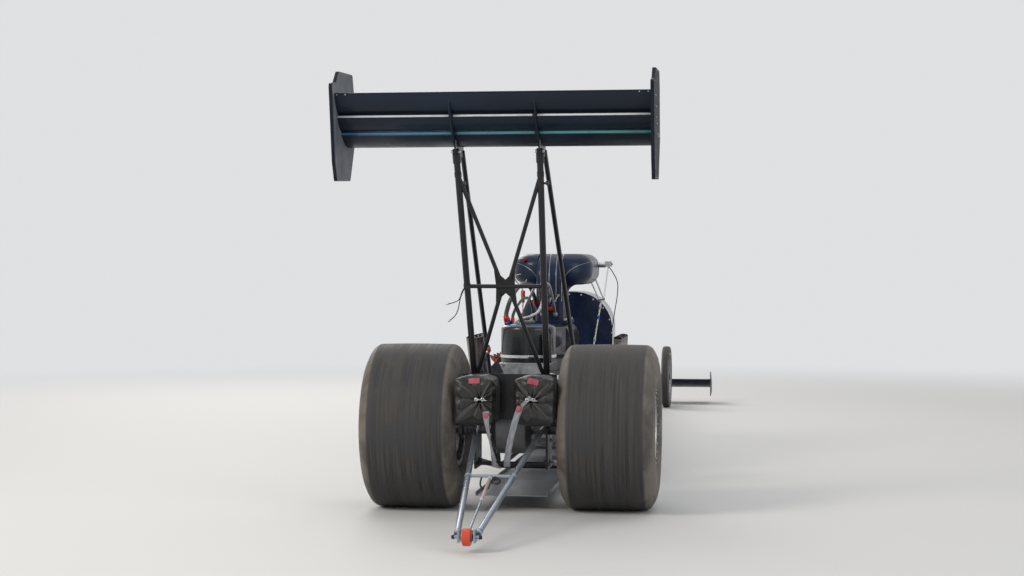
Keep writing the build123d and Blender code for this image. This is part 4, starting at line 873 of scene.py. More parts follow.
def tyreOutline(size):
    height = size["crown"] - size["beadRadius"]
    foot = (size["beadHalf"], size["beadRadius"] + size["beadRise"])
    bulge = (size["halfWidth"], size["beadRadius"] + 0.47 * height)
    shoulder = (0.9 * size["halfWidth"], size["crown"] - 0.12 * height)
    edge = (size["treadHalf"], size["crown"] - 0.003)
    wall = []
    for x, radius in arcThrough(foot, bulge, shoulder, 26):
        lift = sum(size["rib"] * math.exp(-(((radius - rib) / 0.004) ** 2)) for rib in size["ribs"])
        wall.append((x + lift, radius))
    bend = 0.16 * size["halfWidth"] + 0.012
    middle = Vector(((shoulder[0] + edge[0]) / 2, (shoulder[1] + edge[1]) / 2))
    span = Vector(edge) - Vector(shoulder)
    sag = bend - math.sqrt(max(bend * bend - span.length_squared / 4, 0.0))
    outward = Vector((-span.y, span.x)).normalized()
    outward = outward if outward.x > 0 else -outward
    roll = arcThrough(shoulder, tuple(middle + outward * sag), edge, 7)[1:]
    crown = [(size["treadHalf"] * (1 - i / 8), size["crown"] - 0.003 * (1 - i / 8) ** 2) for i in range(1, 9)]
    right = wall + roll + crown
    outside = [(-x, r) for x, r in right] + list(reversed(right))[1:]
    inside = [
        (foot[0] - size["wall"], foot[1]), (size["halfWidth"] - size["wall"], bulge[1]),
        (size["treadHalf"], edge[1] - size["wall"]),
    ]
    lining = inside + [(-x, r) for x, r in reversed(inside)]
    base = [(size["beadHalf"], size["beadRadius"]), (size["beadHalf"] - size["wall"], size["beadRadius"])]
    closed = outside + base + lining + [(-x, r) for x, r in reversed(base)]
    return closed + closed[:1]


def makeRearTyres():
    for side, name in ((-1, "rearTyreLeft"), (1, "rearTyreRight")):
        tyre = turned(
            tyreOutline(rearTyre), at(side * rearTyre["sideways"], 0, axleHeight), rightward,
            rearTyre["sides"],
        )
        finishPiece(tyre, name, "rear rubber", "rear_axle", 30)
        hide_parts("rear_tyres")


frontTyre = {
    "sideways": 0.443, "crown": 0.285, "treadHalf": 0.024, "halfWidth": 0.037, "beadHalf": 0.029,
    "beadRadius": 0.2145, "beadRise": 0.01, "wall": 0.006, "sides": 120, "ribs": (0.236, 0.262),
    "rib": 0.0008,
}


def makeFrontTyres():
    for side, word in ((-1, "left"), (1, "right")):
        outline = tyreOutline(frontTyre)
        grooved = []
        for x, radius in outline:
            grooved.append((x, radius - (0.0022 if radius > 0.28 and abs(abs(x) - 0.009) < 0.002 else 0)))
        middle = at(side * frontTyre["sideways"], wheelbase, frontTyre["crown"])
        tyre = turned(grooved, middle, rightward, frontTyre["sides"])
        finishPiece(
            tyre, "frontTyre" + word.capitalize(), "front rubber", "front_wheel_" + word, 30,
        )
        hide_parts("front_tyre_" + word)


# Rear wheels: bead lock rings with studs, hub nuts and studs

rearWheel = {
    "sideways": 0.532, "rimOut": 0.23, "ringRadius": (0.196, 0.219), "ringThick": 0.009, "bolts": 24,
    "hubFace": 0.072, "studCircle": 0.076, "studs": 5,
    "cap": ((0, 0.056), (0.006, 0.056), (0.009, 0.052), (0.012, 0.044), (0.02, 0.04), (0.022, 0.03)),
}


def makeRearWheels():
    things = []
    for side in (-1, 1):
        face = side * (rearWheel["sideways"] + rearWheel["rimOut"])
        inner, outer = rearWheel["ringRadius"]
        thick = rearWheel["ringThick"]
        outline = [
            (0, inner), (0, outer), (thick * 0.5, outer), (thick, outer - 0.004), (thick, inner + 0.003),
            (thick * 0.6, inner), (0, inner),
        ]
        things.append(spun("wheel alloy", outline, at(face, 0, axleHeight), (side, 0, 0), 96))
        things += bolts(
            ringPlaces(
                at(face + side * thick, 0, axleHeight), (side, 0, 0), (inner + outer) / 2, rearWheel["bolts"],
            ),
            0.011, 0.006,
        )
        hub = side * (rearWheel["sideways"] + rearWheel["hubFace"])
        things.append(spun("cast alloy", rearWheel["cap"], at(hub, 0, axleHeight), (side, 0, 0), 40))
        things += bolts(
            ringPlaces(at(hub, 0, axleHeight), (side, 0, 0), rearWheel["studCircle"], rearWheel["studs"]),
            0.022, 0.016, "turned steel",
        )
    finishGroup(things, "rearWheelDetails", "rear_axle")


frontWheel = {
    "sideways": 0.443, "bolts": 8,
    "cap": ((0, 0.03), (0.004, 0.03), (0.008, 0.026), (0.01, 0.016), (0.011, 0.006)),
}


def makeFrontWheels():
    for side, word in ((-1, "left"), (1, "right")):
        middle = at(side * frontWheel["sideways"], wheelbase, frontTyre["crown"])
        way = Vector((side, 0, 0))
        cap = turned(frontWheel["cap"], middle + way * 0.026, way, 32)
        things = [paint(cap, "black casting")]
        things += bolts(ringPlaces(middle + way * 0.003, way, 0.045, frontWheel["bolts"]), 0.007, 0.004)
        valve = rod(
            middle + way * 0.004 + Vector((0, 0, 0.198)), middle + way * 0.016 + Vector((0, 0, 0.19)), 0.003,
            10,
        )
        things.append(paint(valve, "hose rubber"))
        finishGroup(things, "frontWheelDetails" + word.capitalize(), "front_wheel_" + word)


# Rear wing: edge trims, slot strips with painted light lines, bolts, strut fittings

wing = {
    "halfSpan": 0.803, "silver": {"forward": -0.812, "z": 2.0895, "size": (0.01, 0.015), "line": 0.005},
    "teal": {"forward": -0.716, "z": 2.008, "size": (0.008, 0.019), "line": 0.0058}, "breaks": 0.214,
    "breakGap": 0.012,
    "plateScrews": (
        (-0.46, 0.0), (-0.56, 0.004), (-0.66, 0.01), (-0.73, 0.056), (-0.79, 0.086), (-0.8, 0.14),
        (-0.85, 0.19),
    ),
    "plateZ": 1.988, "rolledEdge": (-0.8815, 2.203, (0.006, 0.005)), "rimRadius": 0.0095, "rimInset": 0.0102,
    "plateOutline": (
        (-0.936, 0.264), (-0.85, 0.27), (-0.772, 0.338), (-0.448, 0.35), (-0.414, 0.262), (-0.39, -0.013),
        (-0.5, -0.213), (-0.812, -0.227), (-0.862, -0.128),
    ),
    "rivet": ((0, 0.004), (0.001, 0.004), (0.002, 0.002)),
}


def trimRun(low, high, forward, z, size, finish):
    bead = slab(
        at(low, forward - size[0] / 2, z - size[1] / 2), at(high, forward + size[0] / 2, z + size[1] / 2),
        0.002,
    )
    return paint(bead, finish)


def makeWingTrim():
    things = []
    half, gap = wing["halfSpan"] - 0.001, wing["breaks"]
    # strips that close the slots between the wing's elements, each with a painted light line along its
    # middle, and plain lacquer pieces at the breaks
    for line, finish in (("silver", "silver line"), ("teal", "blue to teal line")):
        row = wing[line]
        for side in (-1, 1):
            low, high = sorted((side * (gap - wing["breakGap"]), side * (gap + wing["breakGap"])))
            things.append(trimRun(low, high, row["forward"], row["z"], row["size"], "wing lacquer"))
        for low, high in (
            (-half, -gap - wing["breakGap"]), (-gap + wing["breakGap"], gap - wing["breakGap"]),
            (gap + wing["breakGap"], half),
        ):
            things.append(trimRun(low, high, row["forward"], row["z"], row["size"], finish))
    # a thin rolled edge along the top panel's tail
    things.append(trimRun(-half, half, *wing["rolledEdge"], "frame black"))
    spots = [
        (at(side * half * share, -0.884, 2.196), (0, -0.7, 0.7))
        for side in (-1, 1)
        for share in (0.985, 0.93)
    ]
    things += rivets(wing["rivet"], 10, spots)
    finishGroup(things, "wingTrim")


def makeEndPlateTrim():
    # dark rolled rim round each end plate, and the screws that hold the panels' ends
    outline = wing["plateOutline"]
    things = []
    for side in (-1, 1):
        x = side * (wing["halfSpan"] + 0.009)
        middle = Vector(
            (sum(p[0] for p in outline) / len(outline), sum(p[1] for p in outline) / len(outline))
        )
        points = []
        for index, point in enumerate(outline):
            following = outline[(index + 1) % len(outline)]
            for share in (0.12, 0.5, 0.88):
                spot = Vector(point).lerp(Vector(following), share)
                spot += (middle - spot).normalized() * wing["rimInset"]
                points.append(at(x, spot.x, wing["plateZ"] + spot.y))
        things.append(paint(wire(points, wing["rimRadius"], 4, True), "frame black"))
        things += bolts(
            [
                (at(side * (wing["halfSpan"] + 0.018), y, wing["plateZ"] + z), (side, 0, 0))
                for y, z in wing["plateScrews"]
            ],
            0.01, 0.005,
        )
    finishGroup(things, "endPlateTrim")


strut = {
    "foot": (0.196, -0.103, 0.662), "head": (0.218, -0.632, 1.93), "clampsAt": (0.7, 1.22, 1.8),
    "pinReach": 0.0155, "pinPlace": (-0.63, 1.918),
    "sleeve": ((0, 0.0175), (0.002, 0.021), (0.052, 0.021), (0.054, 0.0175)),
    "pin": ((0, 0.005), (0.001, 0.0075), (0.03, 0.0075), (0.031, 0.005)),
    "eye": ((0, 0.004), (0.001, 0.006), (0.045, 0.006), (0.046, 0.004)),
    "knob": (
        (0, 0.006), (0.01, 0.006), (0.012, 0.011), (0.016, 0.013), (0.022, 0.013), (0.026, 0.01),
        (0.028, 0.005),
    ),
    "clamp": ((0, 0.0172), (0.001, 0.019), (0.026, 0.019), (0.027, 0.0172)),
}


def strutPlace(side, z):
    # a place on the rear strut's middle line at this height
    (footX, footY, footZ), (headX, headY, headZ) = strut["foot"], strut["head"]
    share = (z - footZ) / (headZ - footZ)
    return at(side * (footX + (headX - footX) * share), footY + (headY - footY) * share, z)


def makeStrutFittings():
    things = []
    for side in (-1, 1):
        top = strutPlace(side, 1.932)
        foot = strutPlace(side, 1.86)
        things.append(spun("frame black", strut["sleeve"], foot, top - foot, 24))
        pin = turned(
            strut["pin"], at(side * strut["head"][0] - strut["pinReach"], *strut["pinPlace"]), rightward, 16,
        )
        things.append(paint(pin, "pale fitting"))
        things += bolts(
            [
                (at(side * strut["head"][0] + way * strut["pinReach"], *strut["pinPlace"]), (way, 0, 0))
                for way in (-1, 1)
            ],
            0.016, 0.008, "pale fitting",
        )
        things.append(spun("pale fitting", strut["eye"], at(side * 0.218, -0.655, 1.93), (0, -0.15, 1), 16))
        knob = turned(strut["knob"], at(side * 0.218 + 0.012, -0.56, 1.755), (1, 0, 0.1), 20)
        things.append(paint(knob, "tank black"))
        for z in strut["clampsAt"]:
            spot = strutPlace(side, z)
            way = strutPlace(side, z + 0.02) - spot
            things.append(spun("frame black", strut["clamp"], spot - way * 0.5, way, 24))
    finishGroup(things, "strutFittings")


# Parachute packs: tight black nylon bags closed over a pin

pack = {
    "inset": 0.006, "voxel": 0.0065, "pressure": 4.0, "frames": 20, "cap": 0.01, "folds": 11,
    "foldDepth": 0.013,
    "right": {"low": (0.047, -0.42, 0.484), "high": (0.27, -0.168, 0.744)}, "pin": (0.146, -0.424, 0.622),
    "eyelet": ((0, 0.006), (0, 0.01), (0.003, 0.01), (0.004, 0.008), (0.003, 0.006), (0, 0.006)),
}


def packBag(side):
    low, high = Vector(pack["right"]["low"]), Vector(pack["right"]["high"])
    if side < 0:
        low.x, high.x = -high.x, -low.x
    low, high = at(*low), at(*high)
    inset = Vector((pack["inset"],) * 3)
    deselect()
    bpy.ops.mesh.primitive_cube_add(size=1, location=(low + high) / 2, scale=high - low - 2 * inset)
    bag = settle(bpy.context.object)
    subdivide(6)
    middle = (low + high) / 2
    half = (high - low) / 2
    for corner in bag.data.vertices:
        reach = Vector([(corner.co[axis] - middle[axis]) / half[axis] for axis in range(3)])
        # the bag is wider and lower at its back, and rounder at the corners
        back = max(0.0, -reach.y)
        corner.co.x += side * 0.01 * back * max(0.0, side * reach.x)
        corner.co.z -= 0.006 * back * max(0.0, -reach.z)
        pull = 0.05 * max(0.0, abs(reach.x) + abs(reach.z) - 1.25)
        corner.co.x -= pull * half.x * math.copysign(1, reach.x)
        corner.co.z -= pull * half.z * math.copysign(1, reach.z)
    softenEdges(bag, 0.014, 3, 50)
    swell(bag)
    addModifier(bag, "SUBSURF", levels=1)
    pinPlace = at(side * pack["pin"][0] + (0.0 if side > 0 else 0.022), *pack["pin"][1:])
    for corner in bag.data.vertices:
        corner.co += foldShift(corner.co, pinPlace, middle, half)
    # nothing leaves the box that the bag was cut from
    for corner in bag.data.vertices:
        for axis in range(3):
            corner.co[axis] = min(max(corner.co[axis], low[axis] - 0.002), high[axis] + 0.002)
    return bag, pinPlace


def foldShift(place, pinPlace, middle, half):
    # creases that run out from the pin across the back, soft dents over the sides
    away = Vector((place.x - pinPlace.x, 0, place.z - pinPlace.z))
    back = max(0.0, min(1.0, (middle.y - place.y) / half.y))
    angle = math.atan2(away.z, away.x)
    fold = math.cos(angle * pack["folds"] + 2.2 * noise.noise(place * 9.0))
    near = math.exp(-away.length / 0.1) * min(1.0, away.length / 0.018)
    shift = Vector((0, -pack["foldDepth"] * fold * near * back * back, 0))
    dimple = math.exp(-(away.length / 0.022) ** 2) * back * back
    shift.y += 0.012 * dimple
    dent = noise.noise(place * 14.0) * 0.0045 + noise.noise(place * 34.0) * 0.0018
    out = (place - middle).normalized()
    return shift + out * dent


def swell(bag, cap=None):
    # remeshed, then blown up a little as cloth, and each point held near its start
    addModifier(bag, "REMESH", mode="VOXEL", voxel_size=pack["voxel"])
    start = [corner.co.copy() for corner in bag.data.vertices]
    cloth = bag.modifiers.new("cloth", "CLOTH")
    settings = cloth.settings
    settings.quality = 6
    settings.use_pressure, settings.uniform_pressure_force = True, pack["pressure"]
    settings.effector_weights.gravity = 0
    for moment in range(1, pack["frames"] + 1):
        scene.frame_set(moment)
    pick(bag)
    bpy.ops.object.modifier_apply(modifier="cloth")
    for corner, before in zip(bag.data.vertices, start):
        moved = corner.co - before
        if moved.length > (cap or pack["cap"]):
            corner.co = before + moved.normalized() * (cap or pack["cap"])
    scene.frame_set(1)


def makePacks():
    things = []
    for side, name in ((-1, "packLeft"), (1, "packRight")):
        bag, pinPlace = packBag(side)
        finishPiece(bag, name, "pack cloth", "chassis", 60)
        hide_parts("chute_packs")
        face = pinPlace + Vector((0, -0.004, 0))
        # closing pin through its loop, its cable end and two eyelets
        pin = wire(
            [
                face + Vector((-0.026, -0.002, 0.004)), face + Vector((-0.008, -0.006, 0.002)),
                face + Vector((0.012, -0.006, -0.001)), face + Vector((0.034, -0.001, -0.004)),
            ],
            0.0028,
        )
        things.append(paint(pin, "pale fitting"))
        for shift in (-0.02, 0.014):
            things.append(
                spun("pale fitting", pack["eyelet"], face + Vector((shift, 0.002, 0.001)), backward, 20)
            )
    finishGroup(things, "packPins")


def ribbon(places, width, thick, side=Vector(rightward), twist=0.0):
    # flat strap along the places; UV across and along it in metres
    steps = 10
    spine = []
    for first, last in zip(places, places[1:]):
        for i in range(steps):
            spine.append(Vector(first).lerp(Vector(last), i / steps))
    spine.append(Vector(places[-1]))
    for _ in range(12):
        spine = [spine[0]] + [
            (a + b * 2 + c) / 4 for a, b, c in zip(spine, spine[1:], spine[2:])
        ] + [spine[-1]]
    rows, run = [], 0.0
    mesh = bpy.data.meshes.new("strap")
    shape = bmesh.new()
    uv = shape.loops.layers.uv.new("strap")
    lengths = []
    for index, place in enumerate(spine):
        if index:
            run += (place - spine[index - 1]).length
        lengths.append(run)
        before, after = spine[max(index - 1, 0)], spine[min(index + 1, len(spine) - 1)]
        way = (after - before).normalized()
        across = (side - way * side.dot(way)).normalized()
        turn = Matrix.Rotation(twist * math.sin(math.pi * index / (len(spine) - 1)), 3, way)
        across = turn @ across
        rows.append(
            [shape.verts.new(place + across * width * (share - 0.5)) for share in (0, 0.25, 0.5, 0.75, 1)]
        )
    for index in range(len(rows) - 1):
        for column in range(4):
            corners = [(index, column), (index, column + 1), (index + 1, column + 1), (index + 1, column)]
            face = shape.faces.new([rows[row][place] for row, place in corners])
            for loop, (row, place) in zip(face.loops, corners):
                loop[uv].uv = (place / 4, lengths[row])
    shape.to_mesh(mesh)
    shape.free()
    thing = bpy.data.objects.new("strap", mesh)
    scene.collection.objects.link(thing)
    addModifier(thing, "SOLIDIFY", thickness=thick, offset=0)
    softenEdges(thing, thick * 0.3, 1, 60)
    return thing, run


risers = {
    "width": 0.034, "thick": 0.003,
    "left": (
        (-0.094, -0.424, 0.56), (-0.085, -0.446, 0.5), (-0.074, -0.444, 0.43), (-0.064, -0.42, 0.365),
        (-0.056, -0.396, 0.3), (-0.05, -0.352, 0.262),
    ),
    "right": (
        (0.09, -0.424, 0.588), (0.064, -0.446, 0.51), (0.044, -0.444, 0.43), (0.028, -0.42, 0.365),
        (0.016, -0.396, 0.3), (0.01, -0.352, 0.262),
    ),
}


def makeRisers():
    for word, twist in (("left", 1.15), ("right", 0.25)):
        strap, length = ribbon(route(risers[word]), risers["width"], risers["thick"], twist=twist)
        finishPiece(strap, "riser" + word.capitalize(), "strap webbing", "chassis", 50)
        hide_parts("chute_risers")


tags = (  # pack, side, forward, height, width, drop, tilt
    ("packLeft", -0.158, -0.414, 0.72, 0.06, 0.026, -0.04),
    ("packRight", 0.156, -0.414, 0.718, 0.058, 0.028, 0.26),
)


def surfaceOf(thing):
    return BVHTree.FromPolygons(
        [corner.co for corner in thing.data.vertices], [list(face.vertices) for face in thing.data.polygons],
    )


def makeTags():
    things = []
    for bag, x, forward, z, width, drop, tilt in tags:
        back = surfaceOf(bpy.data.objects[bag])
        deselect()
        bpy.ops.mesh.primitive_plane_add(
            size=1, location=at(x, forward, z), rotation=(math.pi / 2 + 0.15, tilt, 0),
        )
        bpy.context.object.scale = (width, drop, 1)
        tag = settle(bpy.context.object)
        subdivide(7)
        for corner in tag.data.vertices:
            hit = back.ray_cast(corner.co - Vector((0, 0.2, 0)), Vector(onward))[0]
            corner.co.y = (hit.y if hit else corner.co.y) - 0.003 + 0.0015 * math.sin((corner.co.x - x) * 150)
        addModifier(tag, "SOLIDIFY", thickness=0.0015)
        things.append(paint(tag, "tag red"))
    # red stitched keepers where each riser leaves its pack
    for spot, way in (((-0.09, -0.428, 0.552), (0.2, -0.1, -1)), ((0.091, -0.428, 0.59), (-0.45, -0.1, -1))):
        knot = turned(
            [(0, 0.006), (0.004, 0.012), (0.012, 0.015), (0.022, 0.014), (0.03, 0.009), (0.032, 0.005)],
            at(*spot), way, 14,
        )
        for corner in knot.data.vertices:
            corner.co += Vector(
                (
                    noise.noise(corner.co * 120), noise.noise(corner.co * 130 + Vector((4, 0, 0))),
                    noise.noise(corner.co * 110),
                )
            ) * 0.003
        things.append(paint(knot, "tag red"))
    finishGroup(things, "packTags", angle=60)


# Intake scoop: raised seams, mouth lips, throttle shafts, nozzles and their lines

scoop = {
    "backY": 1.74, "bend": 0.166, "bendZ": 1.24, "middle": 1.305, "creases": (-0.002, 0.042, 0.078),
    "elbow": (0.082, 1.978), "barrelX": 0.172, "mouthY": 2.43, "plateY": 2.398, "round": 0.084, "lip": 0.081,
    "lineRadius": 0.0045, "seamRadius": 0.0022,
    "seam": ((0, 0.05), (20, 0.047), (40, 0.038), (58, 0.025), (72, 0.004), (82, -0.022), (88, -0.05)),
    "nozzles": (-0.06, -0.02, 0.02, 0.06),
    "loopEnd": (
        (-0.184, 1.85, 1.092), (-0.188, 1.85, 1.03), (-0.182, 1.85, 0.95), (-0.16, 1.85, 0.905),
        (-0.142, 1.85, 0.895),
    ),
    "smallLoop": (
        (-0.232, 1.85, 1.24), (-0.206, 1.838, 1.218), (-0.168, 1.836, 1.214), (-0.156, 1.842, 1.246),
        (-0.176, 1.85, 1.276), (-0.214, 1.844, 1.272), (-0.24, 1.838, 1.262),
    ),
}


def barrelPlace(side, degrees, rise, lift=0.0008):
    # a place on a side barrel's elbow: turned back about its pivot, this far above its middle
    upright = max(0.0, abs(rise) - 0.016)
    reach = 0.09 + 0.002 + math.sqrt(scoop["round"] ** 2 - upright ** 2) + lift
    turn = math.radians(degrees)
    elbowX, elbowY = scoop["elbow"]
    return at(
        side * (elbowX + reach * math.cos(turn)), elbowY - reach * math.sin(turn), scoop["middle"] + rise,
    )


def makeScoopDetails():
    things = []
    for x in scoop["creases"]:
        line = [at(x, scoop["backY"] - 0.001, z) for z in (1.1, 1.16, 1.21, 1.24)]
        for degrees in (14, 28, 42, 56, 70, 82):
            turn = math.radians(degrees)
            line.append(
                at(x, 1.905 - scoop["bend"] * math.cos(turn), scoop["bendZ"] + scoop["bend"] * math.sin(turn))
            )
        things.append(pipe(line, scoop["seamRadius"], "seam light", 3))
    for side in (-1, 1):
        bent = [barrelPlace(side, degrees, rise) for degrees, rise in scoop["seam"]]
        straight = [at(side * 0.2513, forward, 1.355) for forward in (2.425, 2.3, 2.18, 2.06)]
        things.append(pipe(straight + bent, scoop["seamRadius"], "seam light", 3))
    for x in (-scoop["barrelX"], 0.0, scoop["barrelX"]):
        lip = []
        for step in range(32):
            turn = 2 * math.pi * step / 32
            across, up = math.cos(turn), math.sin(turn)
            lip.append(
                at(
                    x + scoop["lip"] * across + math.copysign(0.002, across), scoop["mouthY"],
                    scoop["middle"] + scoop["lip"] * up + math.copysign(0.016, up),
                )
            )
        things += [
            paint(wire(lip, 0.0038, 2, True), "cast alloy"),
            bar(
                "turned steel", at(x - 0.079, scoop["plateY"] + 0.004, scoop["middle"]),
                at(x + 0.079, scoop["plateY"] + 0.004, scoop["middle"]), 0.0055,
            ),
        ]
        things += bolts(
            [(at(x + shift, scoop["plateY"] + 0.008, scoop["middle"]), onward) for shift in (-0.035, 0.035)],
            0.009, 0.004,
        )
    footBolts = [
        (at(side * 0.108, 1.66 + step * 0.083, 0.982), upward) for side in (-1, 1) for step in range(6)
    ]
    things += bolts(footBolts, 0.014, 0.008)
    # injector nozzles in the trunk's back, fed from a small block
    things.append(block("red anodised", at(-0.034, 1.716, 1.04), at(0.022, 1.741, 1.066), 0.004))
    for number, x in enumerate(scoop["nozzles"]):
        tip = at(x, scoop["backY"] - 0.026, 1.14)
        things.append(collar(at(x, scoop["backY"] + 0.001, 1.14), backward, 0.009, 0.026, "gold fitting"))
        feed = -0.026 + number * 0.013
        drop = at((x + feed) / 2, scoop["backY"] - 0.062, 1.11 - 0.006 * number)
        things.append(
            pipe(
                [tip, tip + Vector((0, -0.022, -0.004)), drop, at(feed, 1.712, 1.08), at(feed, 1.728, 1.064)],
                0.0026, "hose braid", 5,
            )
        )
    # red fitting on the left barrel, its looped line and the sleeve in it
    root = barrelPlace(-1, 60, 0.052, -0.001)
    things.append(collar(root, (-0.35, -0.6, 0.55), 0.012, 0.03, "red anodised"))
    loop = [
        root + Vector((-0.01, -0.018, 0.018)), at(-0.218, 1.8, 1.375), at(-0.25, 1.822, 1.3),
        at(-0.236, 1.846, 1.232), at(-0.198, 1.85, 1.2), at(-0.184, 1.85, 1.165),
    ]
    things += [
        pipe(loop, scoop["lineRadius"], "hose braid"),
        collar(at(-0.184, 1.85, 1.168), downward, 0.0135, 0.078, "lead sleeve"),
        pipe(route(scoop["loopEnd"]), scoop["lineRadius"], "hose braid"),
    ]
    things.append(pipe(route(scoop["smallLoop"]), 0.0024, "pale fitting"))
    # throttle side: nuts on the lever, return spring, turnbuckles on the rod
    things += bolts([(at(0.346, forward, 1.339), rightward) for forward in (2.383, 2.407)], 0.011, 0.006)
    things.append(spring(at(0.322, 2.4, 1.322), at(0.293, 2.398, 1.112), 0.006, 0.0012, 16, "turned steel"))
    top, foot = at(0.276, 2.395, 1.098), at(0.248, 2.1, 0.79)
    for share in (0.12, 0.34, 0.8):
        things.append(
            collar(
                top.lerp(foot, share), foot - top, 0.0085, 0.03,
                "blue anodised" if share == 0.34 else "plain bolts",
            )
        )
    finishGroup(things, "scoopDetails")


# Engine: cover bolts, plug boots and leads, port lines, blower's end covers, pulley bolts

engine = {
    "crank": 0.43, "ports": (1.59, 1.74, 1.89, 2.04), "coverTop": 0.43, "coverEdge": 0.066,
    "leadRadius": 0.004,
    "blowerMiddle": 0.8525, "magneto": (-0.19, 0.6), "studSpread": (-0.099, 0.099),
    "studShift": (-0.048, 0.048),
    "plates": ((1.492, -1), (2.138, 1)),
    "plateBolts": ((0.175, 0.235), (0.175, 0.38), (0.175, 0.5), (0.268, 0.235), (0.268, 0.38), (0.268, 0.5)),
    "railX": 0.166, "railZ": 0.79,
    "breather": ((0, 0.024), (0.006, 0.024), (0.01, 0.028), (0.024, 0.028), (0.03, 0.022), (0.032, 0.008)),
    "bearingCap": ((0, 0.04), (0.006, 0.04), (0.01, 0.034), (0.016, 0.032), (0.018, 0.012)),
    "magnetoCap": ((0, 0.058), (0.006, 0.058), (0.012, 0.05), (0.026, 0.046), (0.03, 0.03)),
    "boot": ((0, 0.017), (0.006, 0.017), (0.01, 0.012), (0.04, 0.01), (0.05, 0.007)),
    "headerLip": ((-0.007, 0.0276), (-0.007, 0.0295), (-0.001, 0.03), (0.0, 0.0262), (-0.007, 0.0276)),
    "headerWeld": ((0, 0.0278), (0.002, 0.03), (0.005, 0.03), (0.007, 0.0278), (0, 0.0278)),
}


def bank(side, reach, spread, forward):
    # a place on a cylinder bank: reach up along the bores, spread towards the exhaust
    return at(
        side * (reach + spread) / math.sqrt(2), forward, engine["crank"] + (reach - spread) / math.sqrt(2),
    )


def makeEngineDetails():
    things = []
    for side in (-1, 1):
        out = (side, 0, 1)
        edge = [
            (bank(side, engine["coverTop"], spread, 1.525 + step * 0.116), out)
            for spread in (-engine["coverEdge"], engine["coverEdge"])
            for step in range(6)
        ]
        things += bolts(edge, 0.012, 0.007)
        things.append(spun("red anodised", engine["breather"], bank(side, 0.4295, -0.03, 1.665), out, 24))
        for port in engine["ports"]:
            # head studs beside the cover, and a line from the rail into each port
            things += bolts(
                [
                    (bank(side, 0.355, spread, port + shift), out)
                    for spread in engine["studSpread"]
                    for shift in engine["studShift"]
                ],
                0.011, 0.01, "turned steel",
            )
            line = [
                at(side * 0.166, port, 0.772), at(side * 0.178, port, 0.748), at(side * 0.172, port, 0.724),
                at(side * 0.15, port, 0.712),
            ]
            things += [
                pipe(line, 0.0028, "hose braid", 4),
                collar(
                    at(side * engine["railX"], port, engine["railZ"]), downward, 0.008, 0.022, "gold fitting",
                ),
            ]
        things.append(
            bar(
                "blue anodised", at(side * engine["railX"], 1.56, engine["railZ"]),
                at(side * engine["railX"], 2.085, engine["railZ"]), 0.0085,
            )
        )
        plate = [
            (at(side * x, forward, z), (0, way, 0))
            for forward, way in engine["plates"]
            for x, z in engine["plateBolts"]
        ]
        things += bolts(plate, 0.014, 0.008)
    # blower's rear cover with its bearing caps, front cover around the drive shaft
    things.append(block("cast alloy", at(-0.124, 1.549, 0.768), at(0.124, 1.561, 0.944), 0.005, 3))
    for x in (-0.058, 0.058):
        things.append(spun("black casting", engine["bearingCap"], at(x, 1.549, 0.856), backward, 28))
    rim = [(at(x, 1.549, z), backward) for x in (-0.112, -0.06, 0.0, 0.06, 0.112) for z in (0.779, 0.933)]
    things += bolts(rim, 0.011, 0.006)
    things.append(block("cast alloy", at(-0.124, 2.109, 0.768), at(0.124, 2.122, 0.944), 0.005, 3))
    for z, radius in ((engine["crank"], 0.06), (engine["blowerMiddle"], 0.052)):
        things.append(
            spun(
                "red anodised", [(0, radius), (0.003, radius), (0.006, radius - 0.004), (0.007, 0.024)],
                at(0, 2.221, z), onward, 36,
            )
        )
        things += bolts(ringPlaces(at(0, 2.225, z), onward, radius * 0.74, 6), 0.011, 0.006)
    things += [
        collar(at(0, 2.221, engine["crank"]), onward, 0.026, 0.036, "turned steel"),
        collar(at(0, 2.226, engine["blowerMiddle"]), onward, 0.024, 0.02, "turned steel"),
    ]
    finishGroup(things, "engineDetails")


def makePlugLeads():
    things = []
    capX, capZ = engine["magneto"]
    things.append(spun("lead sleeve", engine["magnetoCap"], at(capX, 2.295, capZ), onward, 32))
    for side in (-1, 1):
        out = Vector((side, 0, 1)).normalized()
        for number, port in enumerate(engine["ports"]):
            root = bank(side, engine["coverTop"] - 0.001, 0.022, port)
            things.append(spun("lead sleeve", engine["boot"], root, out, 16))
            tip, along = root + out * 0.046, -0.034 - 0.013 * number
            tower = 2.222 + 0.018 * number
            lead = [
                tip, tip + out * 0.024, bank(side, 0.452, 0.01, port + 0.03),
                bank(side, 0.438, along, port + 0.062), bank(side, 0.436, along, 2.085),
            ]
            if side < 0:
                lead += [at(-0.232, 2.165, 0.775), at(capX - 0.004, tower, 0.722), at(capX, tower, 0.655)]
            else:
                lift = 0.006 * number
                lead += [
                    at(0.205, 2.122, 0.748 + lift), at(0.12, 2.126, 0.7 + lift),
                    at(-0.08, 2.126, 0.69 + lift), at(-0.158, 2.16, 0.68), at(capX + 0.034, tower, 0.668),
                    at(capX + 0.026, tower, 0.648),
                ]
            things.append(pipe(lead, engine["leadRadius"], "hose rubber", 4))
    finishGroup(things, "plugLeads")


